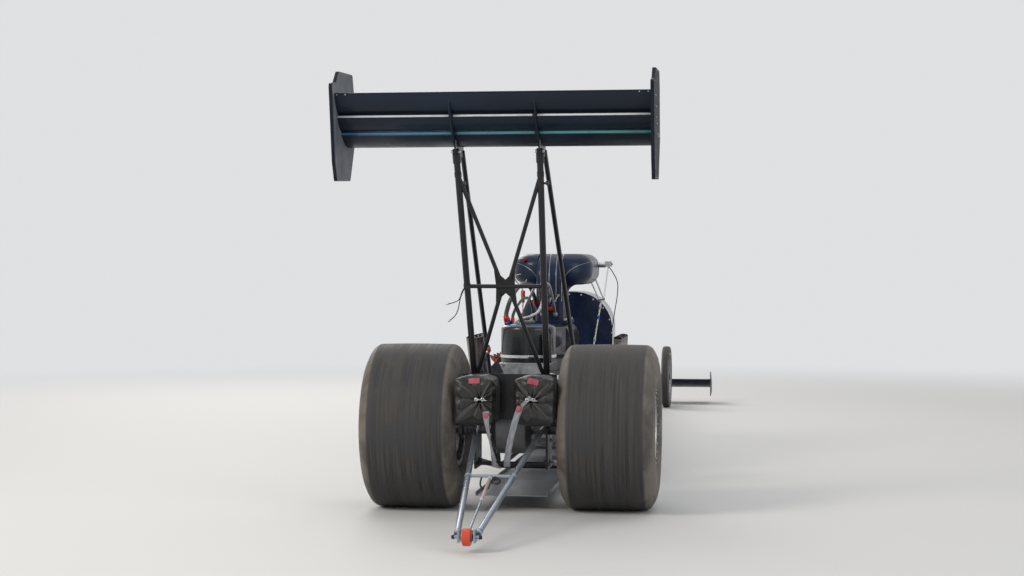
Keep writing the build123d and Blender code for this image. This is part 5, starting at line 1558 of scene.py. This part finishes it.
def makeHeaderDetails():
    things = []
    for side in (-1, 1):
        out, up = Vector((side, 0, -1)).normalized(), Vector((side, 0, 1)).normalized()
        pipeWay = Vector((side * 0.014, -0.12, 0.28))
        nuts = []
        for port in engine["ports"]:
            flange = bank(side, 0.3, 0.105, port) + out * 0.01
            nuts += [
                (flange + up * rise + Vector((0, shift, 0)), out)
                for rise in (-0.028, 0.028)
                for shift in (-0.028, 0.028)
            ]
            tip = at(side * 0.462, port - 0.15, 0.88)
            lip = turned(engine["headerLip"], tip, pipeWay, 32)
            weld = turned(engine["headerWeld"], tip - pipeWay * 0.78, pipeWay, 28)
            things += [paint(lip, "header steel"), paint(weld, "header steel")]
            probe = tip - pipeWay * 0.92 + Vector((side * 0.026, 0, 0))
            things.append(collar(probe, (side, 0, 0.3), 0.0065, 0.02, "plain bolts"))
        things += bolts(nuts, 0.012, 0.008)
    finishGroup(things, "headerDetails")


# Drive line and rear end: bolt rings, gusset bolts, brake lines

drive = {
    "rings": (  # forward, radius, bolts, way, size
        (1.476, 0.2235, 20, -1, 0.014), (1.147, 0.118, 12, -1, 0.013), (0.246, 0.096, 10, -1, 0.012),
        (0.262, 0.086, 10, 1, 0.012),
    ),
    "gussetBolts": (
        (-0.103, 0.64), (-0.1, 0.466), (-0.06, 0.62), (-0.06, 0.25), (0.055, 0.63), (0.055, 0.25),
        (0.055, 0.52), (0.055, 0.37),
    ),
    "brakeLine": (
        (0.352, 0.122, 0.518), (0.345, 0.13, 0.56), (0.29, 0.135, 0.585), (0.225, 0.1, 0.575),
        (0.2, 0.07, 0.56),
    ),
    "caliperBolts": ((0.078, 0.418), (0.078, 0.482), (0.16, 0.418), (0.16, 0.482)),
    "vent": ((0, 0.02), (0.008, 0.02), (0.012, 0.026), (0.024, 0.026), (0.028, 0.014)),
    "rib": ((0, 0.104), (0.001, 0.112), (0.009, 0.112), (0.01, 0.104), (0, 0.104)),
    "filler": ((0, 0.026), (0.01, 0.026), (0.014, 0.02), (0.03, 0.018)),
}


def makeDriveDetails():
    things = []
    crank = engine["crank"]
    for forward, radius, count, way, size in drive["rings"]:
        things += bolts(ringPlaces(at(0, forward, crank), (0, way, 0), radius, count, 0.2), size, size * 0.6)
    for side in (-1, 1):
        things += bolts(ringPlaces(at(side * 0.11, 0, axleHeight), (side, 0, 0), 0.104, 12), 0.014, 0.008)
        things += bolts(facing(side, 0.202, drive["gussetBolts"]), 0.016, 0.009)
        things += bolts(facing(side, 0.358, drive["caliperBolts"]), 0.014, 0.008, "turned steel")
        things += hoseEnd(at(side * 0.352, 0.12, 0.5), (0, 0.1, 1), 0.005)
        things += [
            pipe(route(drive["brakeLine"], side), 0.0042, "hose braid"),
            collar(at(side * 0.25, 0, axleHeight), (side, 0, 0), 0.056, 0.03, "cast alloy"),
        ]
    # vent and filler on the drum, cooling ribs around the reverser, its shift lever
    things.append(spun("red anodised", drive["vent"], at(0.05, 0, 0.598), upward, 20))
    for step in range(5):
        things.append(spun("cast alloy", drive["rib"], at(0, 0.8 + step * 0.062, crank), onward, 48))
    things += [
        spun("cast alloy", drive["filler"], at(0.06, 1.06, crank + 0.084), (0.4, 0, 1), 20),
        bar("turned steel", at(0.072, 1.06, crank + 0.11), at(0.118, 1.06, crank + 0.19), 0.006),
    ]
    things += bolts([(at(0.118, 1.06, crank + 0.188), (0.4, 0, 1))], 0.014, 0.008)
    finishGroup(things, "driveDetails")


# Catch tank: band, rim, cap, hose ends, the panel's bolts and what is clamped on the strut

tank = {
    "centre": 0.65, "top": 0.985, "band": 0.798, "panel": 0.484,
    "bandOutline": ((0, 0.1618), (0, 0.164), (0.016, 0.164), (0.016, 0.1618), (0, 0.1618)),
    "rim": ((0, 0.124), (0.002, 0.13), (0.004, 0.13), (0.006, 0.124), (0, 0.124)),
    "cap": ((0, 0.037), (0.003, 0.039), (0.013, 0.039), (0.016, 0.034), (0.019, 0.02), (0.02, 0.008)),
    "holeRim": ((0, 0.006), (0.0, 0.01), (0.002, 0.0095), (0.002, 0.0065), (0, 0.006)),
    "valve": ((0, 0.01), (0.012, 0.019), (0.034, 0.021), (0.046, 0.014), (0.05, 0.006)),
    "panelBolts": ((0.124, 0.757), (0.08, 0.672), (0.034, 0.562)),
    "hoseEnds": (  # place, way, hose radius
        ((-0.118, 0.65, 0.985), (-0.016, 0.005, 0.055), 0.0125),
        ((-0.086, 0.65, 0.985), (-0.01, 0.01, 0.045), 0.009),
        ((-0.042, 0.65, 0.985), (0.008, 0.005, 0.045), 0.008),
        ((-0.07, 0.6, 0.985), (0.004, 0, 0.022), 0.008),
        ((-0.083, 1.741, 1.08), (-0.005, -0.15, 0.085), 0.0125),
        ((-0.046, 1.741, 1.011), (0.016, -0.243, 0.14), 0.008),
        ((0.04, 1.741, 1.011), (0.004, -0.223, 0.125), 0.008),
        ((-0.07, 1.55, 0.908), (0.01, -0.162, 0.15), 0.009),
    ),
    "paleEnds": (2, 3, 5, 6), "bracketBolts": (0.779, 0.925), "bracketHoles": (0.8, 0.85, 0.9),
}


def makeTankDetails():
    things = [spun("silver edge", tank["bandOutline"], at(0, tank["centre"], tank["band"]), upward, 72)]
    clampY = tank["centre"] - 0.17
    things.append(block("turned steel", at(0.02, clampY, 0.8), at(0.056, clampY + 0.012, 0.812), 0.002))
    things += bolts([(at(0.062, clampY + 0.006, 0.806), rightward)], 0.009, 0.005)
    things += [
        spun("blue anodised", tank["rim"], at(0, tank["centre"], tank["top"] - 0.001), upward, 64),
        spun("cast alloy", tank["cap"], at(0, tank["centre"], 0.992), upward, 36),
    ]
    things += bolts(ringPlaces(at(0, tank["centre"], 1.005), upward, 0.027, 6), 0.009, 0.005)
    for number, (place, way, radius) in enumerate(tank["hoseEnds"]):
        pair = ("blue anodised", "red anodised")
        if number in tank["paleEnds"]:
            pair = ("plain bolts", "pale fitting")
        things += hoseEnd(at(*place), way, radius * 1.02, *pair)
    panelBolts = [
        (at(side * x, tank["panel"], z), backward) for side in (-1, 1) for x, z in tank["panelBolts"]
    ]
    things += bolts(panelBolts, 0.012, 0.006)
    things.append(
        block(
            "pale fitting", at(-0.15, tank["panel"] - 0.003, 0.7645), at(0.15, tank["panel"] + 0.001, 0.7705),
            0.001,
        )
    )
    # upright bracket at the tank's right, with its holes' rims and two bolts
    things += [
        block("bracket brown", at(0.118, 0.486, 0.769), at(0.15, 0.491, 0.936), 0.0015),
        block("bracket brown", at(0.146, 0.486, 0.769), at(0.151, 0.52, 0.936), 0.0015),
    ]
    for z in tank["bracketHoles"]:
        things.append(spun("cast alloy", tank["holeRim"], at(0.132, 0.4862, z), backward, 20))
    things += bolts([(at(0.132, 0.486, z), backward) for z in tank["bracketBolts"]], 0.01, 0.005)
    # red valve clamped on the left front strut, its pale tip and two wires down to the rail
    strutWay = Vector((0.046, -1.522, 1.435)).normalized()
    spot = at(-0.2529, 0.734, 0.84)
    things += [
        collar(spot - strutWay * 0.018, strutWay, 0.0195, 0.04, "tank black"),
        spun("lead sleeve", tank["valve"], spot + Vector((0, -0.012, 0)), (0.15, -1, -0.25), 24),
        collar(spot + Vector((0.006, -0.054, -0.012)), (0.15, -1, -0.6), 0.008, 0.018, "pale fitting"),
    ]
    for shift in (-0.006, 0.006):
        lead = [
            spot + Vector((shift, -0.03, -0.016)), at(-0.262 + shift, 0.712, 0.79),
            at(-0.272 + shift, 0.74, 0.73), at(-0.27 + shift, 0.83, 0.68), at(-0.268 + shift, 0.96, 0.6),
            at(-0.267 + shift, 1.06, 0.512),
        ]
        things.append(pipe(lead, 0.0026, "hose rubber"))
    finishGroup(things, "tankDetails")


# Wheelie bar: end nuts, clamps, the pale sleeve on the centre stay, a hose loop and a small coil

wheelieBar = {
    "head": (0.186, -0.1, 0.466), "tail": (0.048, -1.645, 0.084), "cross": (-0.888, 0.271),
    "axle": (-1.665, 0.073),
    "stayEnd": (-1.593, 0.092), "coilRadius": 0.017,
    "weld": ((0, 0.0148), (0.003, 0.0172), (0.019, 0.0172), (0.022, 0.0148), (0, 0.0148)),
    "hub": ((0, 0.019), (0.002, 0.024), (0.005, 0.024), (0.008, 0.016), (0.01, 0.01)),
    "loop": (
        (-0.046, -0.884, 0.264), (-0.054, -0.876, 0.246), (-0.056, -0.872, 0.222), (-0.046, -0.87, 0.203),
        (-0.026, -0.872, 0.2), (-0.008, -0.88, 0.212), (-0.003, -0.9, 0.252),
    ),
}


def makeWheelieDetails():
    things = []
    crossY, crossZ = wheelieBar["cross"]
    axleY, axleZ = wheelieBar["axle"]
    for side in (-1, 1):
        head, tail = (at(side * x, y, z) for x, y, z in (wheelieBar["head"], wheelieBar["tail"]))
        way = head - tail
        things += [
            collar(tail + way * 0.004, way, 0.0172, 0.046, "bar steel"),
            collar(head - way * 0.012, -way, 0.0172, 0.05, "turned steel"),
        ]
        middle = tail.lerp(head, 0.49)
        things.append(spun("bar steel", wheelieBar["weld"], middle - way.normalized() * 0.011, way, 24))
        things += bolts(facing(side, 0.059, [wheelieBar["axle"]]), 0.018, 0.011, "tank black")
        things += bolts(facing(side, 0.042, [wheelieBar["stayEnd"]]), 0.012, 0.007)
        things.append(spun("plain bolts", wheelieBar["hub"], at(side * 0.02, axleY, axleZ), (side, 0, 0), 24))
    stayTop, stayFoot = at(0, crossY, crossZ), at(0, *wheelieBar["stayEnd"])
    things.append(bar("rod pink", stayTop.lerp(stayFoot, 0.03), stayTop.lerp(stayFoot, 0.44), 0.0082, 18))
    for share in (0.03, 0.44):
        things.append(
            collar(stayTop.lerp(stayFoot, share), stayFoot - stayTop, 0.0105, 0.022, "pale fitting")
        )
    loop = route(wheelieBar["loop"])
    things.append(pipe(loop, 0.0045, "hose rubber"))
    coil = []
    for step in range(31):
        turn = step * math.pi / 5
        wide = wheelieBar["coilRadius"] * (1 + 0.12 * math.sin(step * 1.7))
        coil.append(
            at(
                0.024 + wide * 1.35 * math.cos(turn), crossY - 0.004 + 0.0007 * step,
                0.247 + wide * math.sin(turn),
            )
        )
    things += [
        pipe(coil, 0.0034, "hose rubber", 3),
        collar(at(0.024, crossY + 0.01, 0.2615), backward, 0.012, 0.02, "tank black"),
    ]
    finishGroup(things, "wheelieDetails")


# Loose wire ends tied to the brace's left end

looseWire = {
    "sleeve": ((0, 0.0172), (0.001, 0.02), (0.018, 0.02), (0.019, 0.0172)), "radius": 0.0026,
    "tails": (
        (
            (-0.216, -0.352, 1.215), (-0.232, -0.358, 1.19), (-0.244, -0.352, 1.148), (-0.272, -0.346, 1.134),
            (-0.305, -0.34, 1.126),
        ),
        (
            (-0.218, -0.35, 1.21), (-0.24, -0.356, 1.16), (-0.251, -0.35, 1.098), (-0.268, -0.344, 1.062),
            (-0.296, -0.338, 1.04),
        ),
    ),
}


def rounded(places, rounds=3):
    # corners cut again and again, ends kept
    for _ in range(rounds):
        cut = [places[0]]
        for a, b in zip(places, places[1:]):
            cut += [a.lerp(b, 0.25), a.lerp(b, 0.75)]
        places = cut + [places[-1]]
    return places


def makeStrutWires():
    spot = strutPlace(-1, 1.22)
    way = strutPlace(-1, 1.24) - spot
    sleeve = turned(looseWire["sleeve"], spot - way * 0.3, way, 24)
    finishPiece(sleeve, "wireSleeve", "hose rubber", "chassis")
    for word, tail in zip(("Upper", "Lower"), looseWire["tails"]):
        run = rounded(route(tail))
        tip = collar(run[-1], run[-1] - run[-3], 0.005, 0.016, "pale fitting")
        finishPiece(tip, "wireTip" + word, None, "chassis")
        tube = pipe(run, looseWire["radius"], "hose rubber", 1)
        finishPiece(tube, "wireTail" + word, None, "chassis")


# Parachute packs' sewn tapes: from the pin to the back's corners, and the pale flap on the right one

packTapes = {
    "width": 0.013, "thick": 0.0016, "lift": 0.0016, "flap": (0.146, 0.64, 0.096, 0.59), "flapWidth": 0.02,
    "corners": ((0.078, 0.708), (0.238, 0.706), (0.078, 0.524), (0.24, 0.522)),
}


def lyingOn(bag, start, end, steps, lift):
    # places along a line, dropped forward onto the pack's back
    tree = surfaceOf(bag)
    spots = []
    for step in range(steps + 1):
        place = start.lerp(end, step / steps)
        hit = tree.ray_cast(Vector((place.x, start.y - 0.2, place.z)), Vector(onward))
        if hit[0]:
            spots.append(hit[0] + Vector((0, -lift, 0)))
    return spots


def makePackTapes():
    things = []
    for side, name in ((-1, "packLeft"), (1, "packRight")):
        bag = bpy.data.objects[name]
        pinX, pinY, pinZ = pack["pin"]
        pinPlace = at(side * pinX + (0.0 if side > 0 else 0.022), pinY, pinZ)
        for x, z in packTapes["corners"]:
            corner = at(side * x, pinY, z)
            near = pinPlace.lerp(corner, 0.16)
            spots = lyingOn(bag, near, corner, 5, packTapes["lift"])
            across = (corner - near).cross(Vector(backward)).normalized()
            tape, _ = ribbon(spots, packTapes["width"], packTapes["thick"], across)
            things.append(paint(tape, "tape black"))
    bag = bpy.data.objects["packRight"]
    fromX, fromZ, toX, toZ = packTapes["flap"]
    start, end = at(fromX, -0.424, fromZ), at(toX, -0.424, toZ)
    spots = lyingOn(bag, start, end, 4, 0.005)
    flap, _ = ribbon(
        spots, packTapes["flapWidth"], 0.0022, (end - start).cross(Vector(backward)).normalized(),
    )
    things.append(paint(flap, "strap webbing"))
    finishGroup(things, "packTapes")


# Cockpit: seat pads, belts with their buckle, sleeves on the head bars, grips

cockpit = {
    "padHalf": 0.17, "padThick": 0.03, "beltWidth": 0.05, "beltThick": 0.0028,
    "buckle": (3.1, 0.239), "wheel": (3.44, 0.545), "wheelTilt": 20, "gripX": 0.125,
    "buckleOutline": (
        (0, 0.03), (0.003, 0.034), (0.012, 0.034), (0.016, 0.029), (0.018, 0.014), (0.021, 0.012),
        (0.022, 0.004),
    ),
    "crotchRoute": ((0, 3.3, 0.288), (0, 3.24, 0.282), (0, 3.18, 0.264), (0, 3.12, 0.25)),
    "hub": ((0, 0.012), (0.003, 0.014), (0.008, 0.012), (0.009, 0.005)),
}


def cushion(name, middle, lean, length):
    # a flat block along the seat, swollen as cloth and quilted across
    deselect()
    bpy.ops.mesh.primitive_cube_add(
        size=1, location=(0, 0, 0), scale=(2 * cockpit["padHalf"], length, cockpit["padThick"]),
    )
    pad = settle(bpy.context.object)
    subdivide(4)
    softenEdges(pad, 0.01, 3, 50)
    swell(pad, 0.006)
    for corner in pad.data.vertices:
        if corner.co.z > 0:
            channel = sum(
                math.exp(-(((corner.co.y - share * length) / 0.006) ** 2)) for share in (-0.25, 0.0, 0.25)
            )
            corner.co.z -= 0.007 * channel
    addModifier(pad, "SUBSURF", levels=1)
    pad.data.transform(Matrix.Translation(middle) @ Matrix.Rotation(math.radians(lean), 4, "X"))
    finishPiece(pad, name, "pad cover", "chassis", 60)


def makeSeatPads():
    cushion("seatPadLow", at(0, 3.168, 0.2262), 17.9, 0.29)
    cushion("seatPadBack", at(0, 2.9655, 0.408), 102.6, 0.4)
    # foam sleeves on the bars beside the head, pinched where they are tied
    for side, word in ((-1, "Left"), (1, "Right")):
        start, end = at(side * 0.114, 2.812, 1.1055), at(side * 0.148, 3.012, 1.0965)
        length = (end - start).length
        outline = [(0, 0.0205), (0.003, 0.029), (0.01, 0.032)]
        for share in (0.15, 0.22, 0.25, 0.28, 0.36, 0.5, 0.64, 0.72, 0.75, 0.78, 0.85):
            outline.append((length * share, 0.0285 if share in (0.25, 0.75) else 0.032))
        outline += [(length - 0.01, 0.032), (length - 0.003, 0.029), (length, 0.0205)]
        sleeve = turned(outline, start, end - start, 32)
        finishPiece(sleeve, "headPad" + word, "pad cover", "chassis", 50)


belts = (  # name, places on the right, whether the band lies across the car's length
    (
        "shoulderBelt",
        (
            (0.06, 2.8, 0.682), (0.06, 2.85, 0.674), (0.06, 2.905, 0.66), (0.059, 2.952, 0.6),
            (0.055, 2.984, 0.47), (0.046, 3.016, 0.325), (0.032, 3.062, 0.258), (0.016, 3.088, 0.246),
        ),
        False,
    ),
    (
        "lapBelt",
        (
            (0.182, 3.01, 0.208), (0.168, 3.03, 0.228), (0.12, 3.06, 0.243), (0.06, 3.086, 0.249),
            (0.02, 3.098, 0.25),
        ),
        True,
    ),
)


def makeBelts():
    names = []
    for label, places, lengthwise in belts:
        for side, word in ((-1, "Left"), (1, "Right")):
            across = Vector((0, 1, 0.25)) if lengthwise else Vector(rightward)
            band, length = ribbon(route(places, side), cockpit["beltWidth"], cockpit["beltThick"], across)
            finishPiece(band, label + word, "belt cloth", "chassis", 50)
            names.append((band.name, round(length, 3)))
    band, length = ribbon(route(cockpit["crotchRoute"]), cockpit["beltWidth"], cockpit["beltThick"])
    finishPiece(band, "crotchBelt", "belt cloth", "chassis", 50)
    names.append((band.name, round(length, 3)))
    print("belts, flat lengths:", names)
    spot = at(0, *cockpit["buckle"])
    buckle = turned(cockpit["buckleOutline"], spot, (0, -0.3, 1), 32)
    lever = slab(spot + Vector((-0.006, -0.03, 0.018)), spot + Vector((0.006, 0.004, 0.024)), 0.002)
    things = [paint(buckle, "plain bolts"), paint(lever, "red anodised")]
    for side in (-1, 1):
        things.append(
            block(
                "plain bolts", spot + Vector((side * 0.045 - 0.016, -0.02, 0.004)),
                spot + Vector((side * 0.045 + 0.016, 0.016, 0.01)), 0.002,
            )
        )
    finishGroup(things, "beltBuckle")


def makeSteeringGrips():
    tilt = math.radians(cockpit["wheelTilt"])
    face, up = Vector((0, -math.cos(tilt), math.sin(tilt))), Vector((0, math.sin(tilt), math.cos(tilt)))
    boss = at(0, *cockpit["wheel"])
    things = []
    for side in (-1, 1):
        middle = boss + face * 0.011 + Vector((side * cockpit["gripX"], 0, 0))
        outline = [(0, 0.015), (0.004, 0.019)]
        for ring in range(7):
            outline += [(0.012 + ring * 0.016, 0.0202), (0.02 + ring * 0.016, 0.019)]
        outline += [(0.132, 0.0195), (0.136, 0.015)]
        things += [
            spun("grip rubber", outline, middle - up * 0.068, up, 24),
            collar(middle + up * 0.06 + face * 0.014, face, 0.008, 0.01, "red anodised"),
        ]
    things += bolts(ringPlaces(boss + face * 0.022, face, 0.021, 6), 0.009, 0.004)
    things.append(spun("blue anodised", cockpit["hub"], boss + face * 0.022, face, 20))
    finishGroup(things, "steeringGrips", "steering_wheel")


# Body: joint lines, turn-lock fasteners, edge trims round the cockpit and the shroud

body = {
    "low": 0.076, "joint": 0.0016, "fastener": 0.0105,
    "stations": (  # forward, half width, height, corner, from the shroud to the nose's joint
        (2.74, 0.33, 0.72, 0.09), (3.4, 0.322, 0.7, 0.09), (3.95, 0.268, 0.612, 0.08),
        (5.5, 0.212, 0.48, 0.07), (7.2, 0.162, 0.362, 0.06), (8.0, 0.12, 0.27, 0.05),
    ),
    "joints": (3.95, 5.5, 7.2, 8.0), "opening": (0.215, 2.9, 3.62, 0.12),
    "tubFasteners": (2.8, 3.05, 3.3, 3.6, 3.9), "edgeRivet": ((0, 0.006), (0.001, 0.006), (0.0025, 0.003)),
    "shroudFoot": ((-0.329, 0.735), (-0.329, 0.8), (-0.329, 0.86), (-0.329, 0.888)),
    "shroudShoulder": (-0.068, 0.89, 0.261),
}


def bodySize(forward):
    # half width, height and corner of the body there, between its stations
    for (back, *low), (front, *high) in zip(body["stations"], body["stations"][1:]):
        if back <= forward <= front:
            share = (forward - back) / (front - back)
            return [a + (b - a) * share for a, b in zip(low, high)]
    return list(body["stations"][-1][1:])


def roundedRing(half, low, high, corner, steps=7):
    # places round a rounded rectangle as (x, z)
    spots = []
    for centreX, centreZ, start in (
        (half - corner, high - corner, 0), (corner - half, high - corner, 90),
        (corner - half, low + corner, 180), (half - corner, low + corner, 270),
    ):
        for step in range(steps + 1):
            turn = math.radians(start + 90 * step / steps)
            spots.append((centreX + corner * math.cos(turn), centreZ + corner * math.sin(turn)))
    return spots


def makeBodyDetails():
    things = []
    lift = body["joint"] * 0.4
    for forward in body["joints"]:
        half, high, corner = bodySize(forward)
        ring = [
            at(x, forward, z) for x, z in roundedRing(half + lift, body["low"] - lift, high + lift, corner)
        ]
        dense = [a.lerp(b, share) for a, b in zip(ring, ring[1:] + ring[:1]) for share in (0.0, 0.5)]
        things.append(paint(wire(dense, body["joint"], 1, True), "seam dark"))
    button = [(0, body["fastener"]), (0.0012, body["fastener"]), (0.0026, body["fastener"] * 0.75)]
    spots = []
    for side in (-1, 1):
        for back, front in zip(body["joints"], body["joints"][1:]):
            (halfBack, highBack, _), (halfFront, highFront, _) = bodySize(back), bodySize(front)
            levels = [body["low"] + (high - body["low"]) * 0.6 for high in (highBack, highFront)]
            seam = rod(
                at(side * (halfBack + lift), back, levels[0]),
                at(side * (halfFront + lift), front, levels[1]), body["joint"], 8,
            )
            things.append(paint(seam, "seam dark"))
            slope = (halfFront - halfBack) / (front - back)
            count = int((front - back) / 0.26)
            for step in range(count + 1):
                share = (step + 0.15) / (count + 0.3)
                forward, half = back + (front - back) * share, halfBack + (halfFront - halfBack) * share
                spots.append(
                    (
                        at(side * half, forward, levels[0] + (levels[1] - levels[0]) * share - 0.022),
                        (side, -slope, 0),
                    )
                )
        for forward in body["tubFasteners"]:
            half = bodySize(forward)[0]
            spots += [(at(side * half, forward, z), (side, 0.03, 0)) for z in (0.2, 0.56)]
    things += rivets(button, 12, spots, "plain bolts")
    # soft edge round the cockpit's opening
    reach, back, front, corner = body["opening"]
    middle = (front + back) / 2
    edge = []
    for x, along in roundedRing(reach, back - middle, front - middle, corner, 9):
        edge.append(at(x, middle + along, bodySize(middle + along)[1] - 0.001))
    dense = [a.lerp(b, share) for a, b in zip(edge, edge[1:] + edge[:1]) for share in (0.0, 0.25, 0.5, 0.75)]
    things.append(paint(wire(dense, 0.006, 1, True), "grip rubber"))
    # bright edge along the shroud's back
    arch = list(body["shroudFoot"])
    shoulderX, shoulderZ, radius = body["shroudShoulder"]
    for step in range(1, 9):
        turn = math.radians(90 * step / 9)
        arch.append((shoulderX - radius * math.cos(turn), shoulderZ + radius * math.sin(turn)))
    arch += [(shoulderX, shoulderZ + radius), (-0.03, shoulderZ + radius)]
    arch += [(-x, z) for x, z in reversed(arch)]
    things.append(pipe([at(x, 2.7, z) for x, z in arch], 0.0036, "silver edge", 3))
    edgeSpots = [(at(x * 0.975, 2.6995, z - 0.02), backward) for x, z in arch[2::2]]
    things += rivets(body["edgeRivet"], 10, edgeSpots)
    finishGroup(things, "bodyDetails")


# Front end: nuts on the axle and steering, clamps, the front wing's edges and screws


frontWing = {
    "plateX": 0.8425, "plate": ((8.402, 0.1), (8.402, 0.188), (8.038, 0.309), (7.988, 0.309), (7.988, 0.083)),
    "bolts": ((8.055, 0.232), (8.15, 0.2), (8.26, 0.172), (8.345, 0.16)), "edgeY": 8.012, "edgeZ": 0.2395,
}
knuckle = {"pinX": 0.37, "top": 0.308, "foot": 0.216, "armY": 7.5, "boltX": 0.406, "boltZ": 0.262}


def makeFrontDetails():
    things = []
    for side in (-1, 1):
        for x in (0.15, 0.168):
            things.append(collar(at(side * x, wheelbase, 0.262), (side, 0, 0), 0.0255, 0.014, "turned steel"))
        things.append(
            bar(
                "seam light", at(side * 0.075, frontWing["edgeY"], frontWing["edgeZ"]),
                at(side * 0.838, frontWing["edgeY"], frontWing["edgeZ"]), 0.0032, 10,
            )
        )
        things += bolts(
            [(at(side * 0.84, forward, z), (-side, 0, 0)) for forward, z in frontWing["bolts"]], 0.011, 0.006,
        )
        plate, x = frontWing["plate"], side * frontWing["plateX"]
        for (y0, z0), (y1, z1) in zip(plate, plate[1:] + plate[:1]):
            start, end = at(x, y0, z0), at(x, y1, z1)
            way = (end - start).normalized() * 0.01
            things.append(bar("frame black", start + way, end - way, 0.0034, 8))
    finishGroup(things, "frontDetails")
    for side, word in ((-1, "left"), (1, "right")):
        nuts = bolts([(at(side * knuckle["pinX"], wheelbase, knuckle["top"]), upward)], 0.016, 0.01)
        nuts += bolts(
            [
                (at(side * knuckle["pinX"], forward, knuckle["foot"]), downward)
                for forward in (wheelbase, knuckle["armY"])
            ],
            0.014, 0.008,
        )
        nuts += bolts(
            [
                (at(side * knuckle["boltX"], wheelbase + shift, knuckle["boltZ"] + rise), (side, 0, 0))
                for shift in (-0.012, 0.012)
                for rise in (-0.026, 0.026)
            ],
            0.009, 0.003,
        )
        finishGroup(nuts, "knuckleNuts" + word.capitalize(), "knuckle_" + word)


makeCamera()
makeGroups()
makeFinishes()
makeTyreRubber("rear rubber", at(0, 0, axleHeight), rearTyre, 240.0)
makeTyreRubber("front rubber", at(0, wheelbase, frontTyre["crown"]), frontTyre, 700.0)
makeCloth("pack cloth", (0.005, 0.005, 0.006), (0.014, 0.013, 0.012), 900.0, 0.42, 0.05, 0.12)
makeCloth("belt cloth", (0.26, 0.02, 0.02), (0.34, 0.03, 0.03), 1200.0, 0.6, 0.2)
makeCloth("pad cover", (0.02, 0.02, 0.022), (0.034, 0.034, 0.036), 1100.0, 0.62, 0.2)
makeCloth("tape black", (0.02, 0.019, 0.019), (0.046, 0.043, 0.04), 1400.0, 0.5, 0.2)
makeWebbing()
makeHeaderSteel()
makeBraid()
# painted light along the wing's slots
makeSlotLight("blue to teal line", wing["teal"], (0.03, 0.2, 0.42), (0.02, 0.33, 0.31))
makeSlotLight("silver line", wing["silver"], (0.56, 0.58, 0.6), (0.6, 0.62, 0.64))
makePlateFaces()
makeScreen()
print("finishes are made:", len(materials))
makeStage()
print("camera and stage are made")
dressNodes()
print("frame is dressed")
makeRearTyres()
makeFrontTyres()
makeRearWheels()
makeFrontWheels()
print("wheels are made")
makeWingTrim()
makeEndPlateTrim()
makeStrutFittings()
print("wing trim is made")
makePacks()
makeRisers()
makeTags()
makePackTapes()
print("packs and risers are made")
makeWheelieDetails()
makeStrutWires()
print("wheelie bar and strut wires are made")
makeScoopDetails()
makeEngineDetails()
makePlugLeads()
makeHeaderDetails()
makeDriveDetails()
makeTankDetails()
print("engine and tank details are made")
makeSeatPads()
makeBelts()
makeSteeringGrips()
print("cockpit is made")
makeBodyDetails()
makeFrontDetails()
print("body and front end details are made")
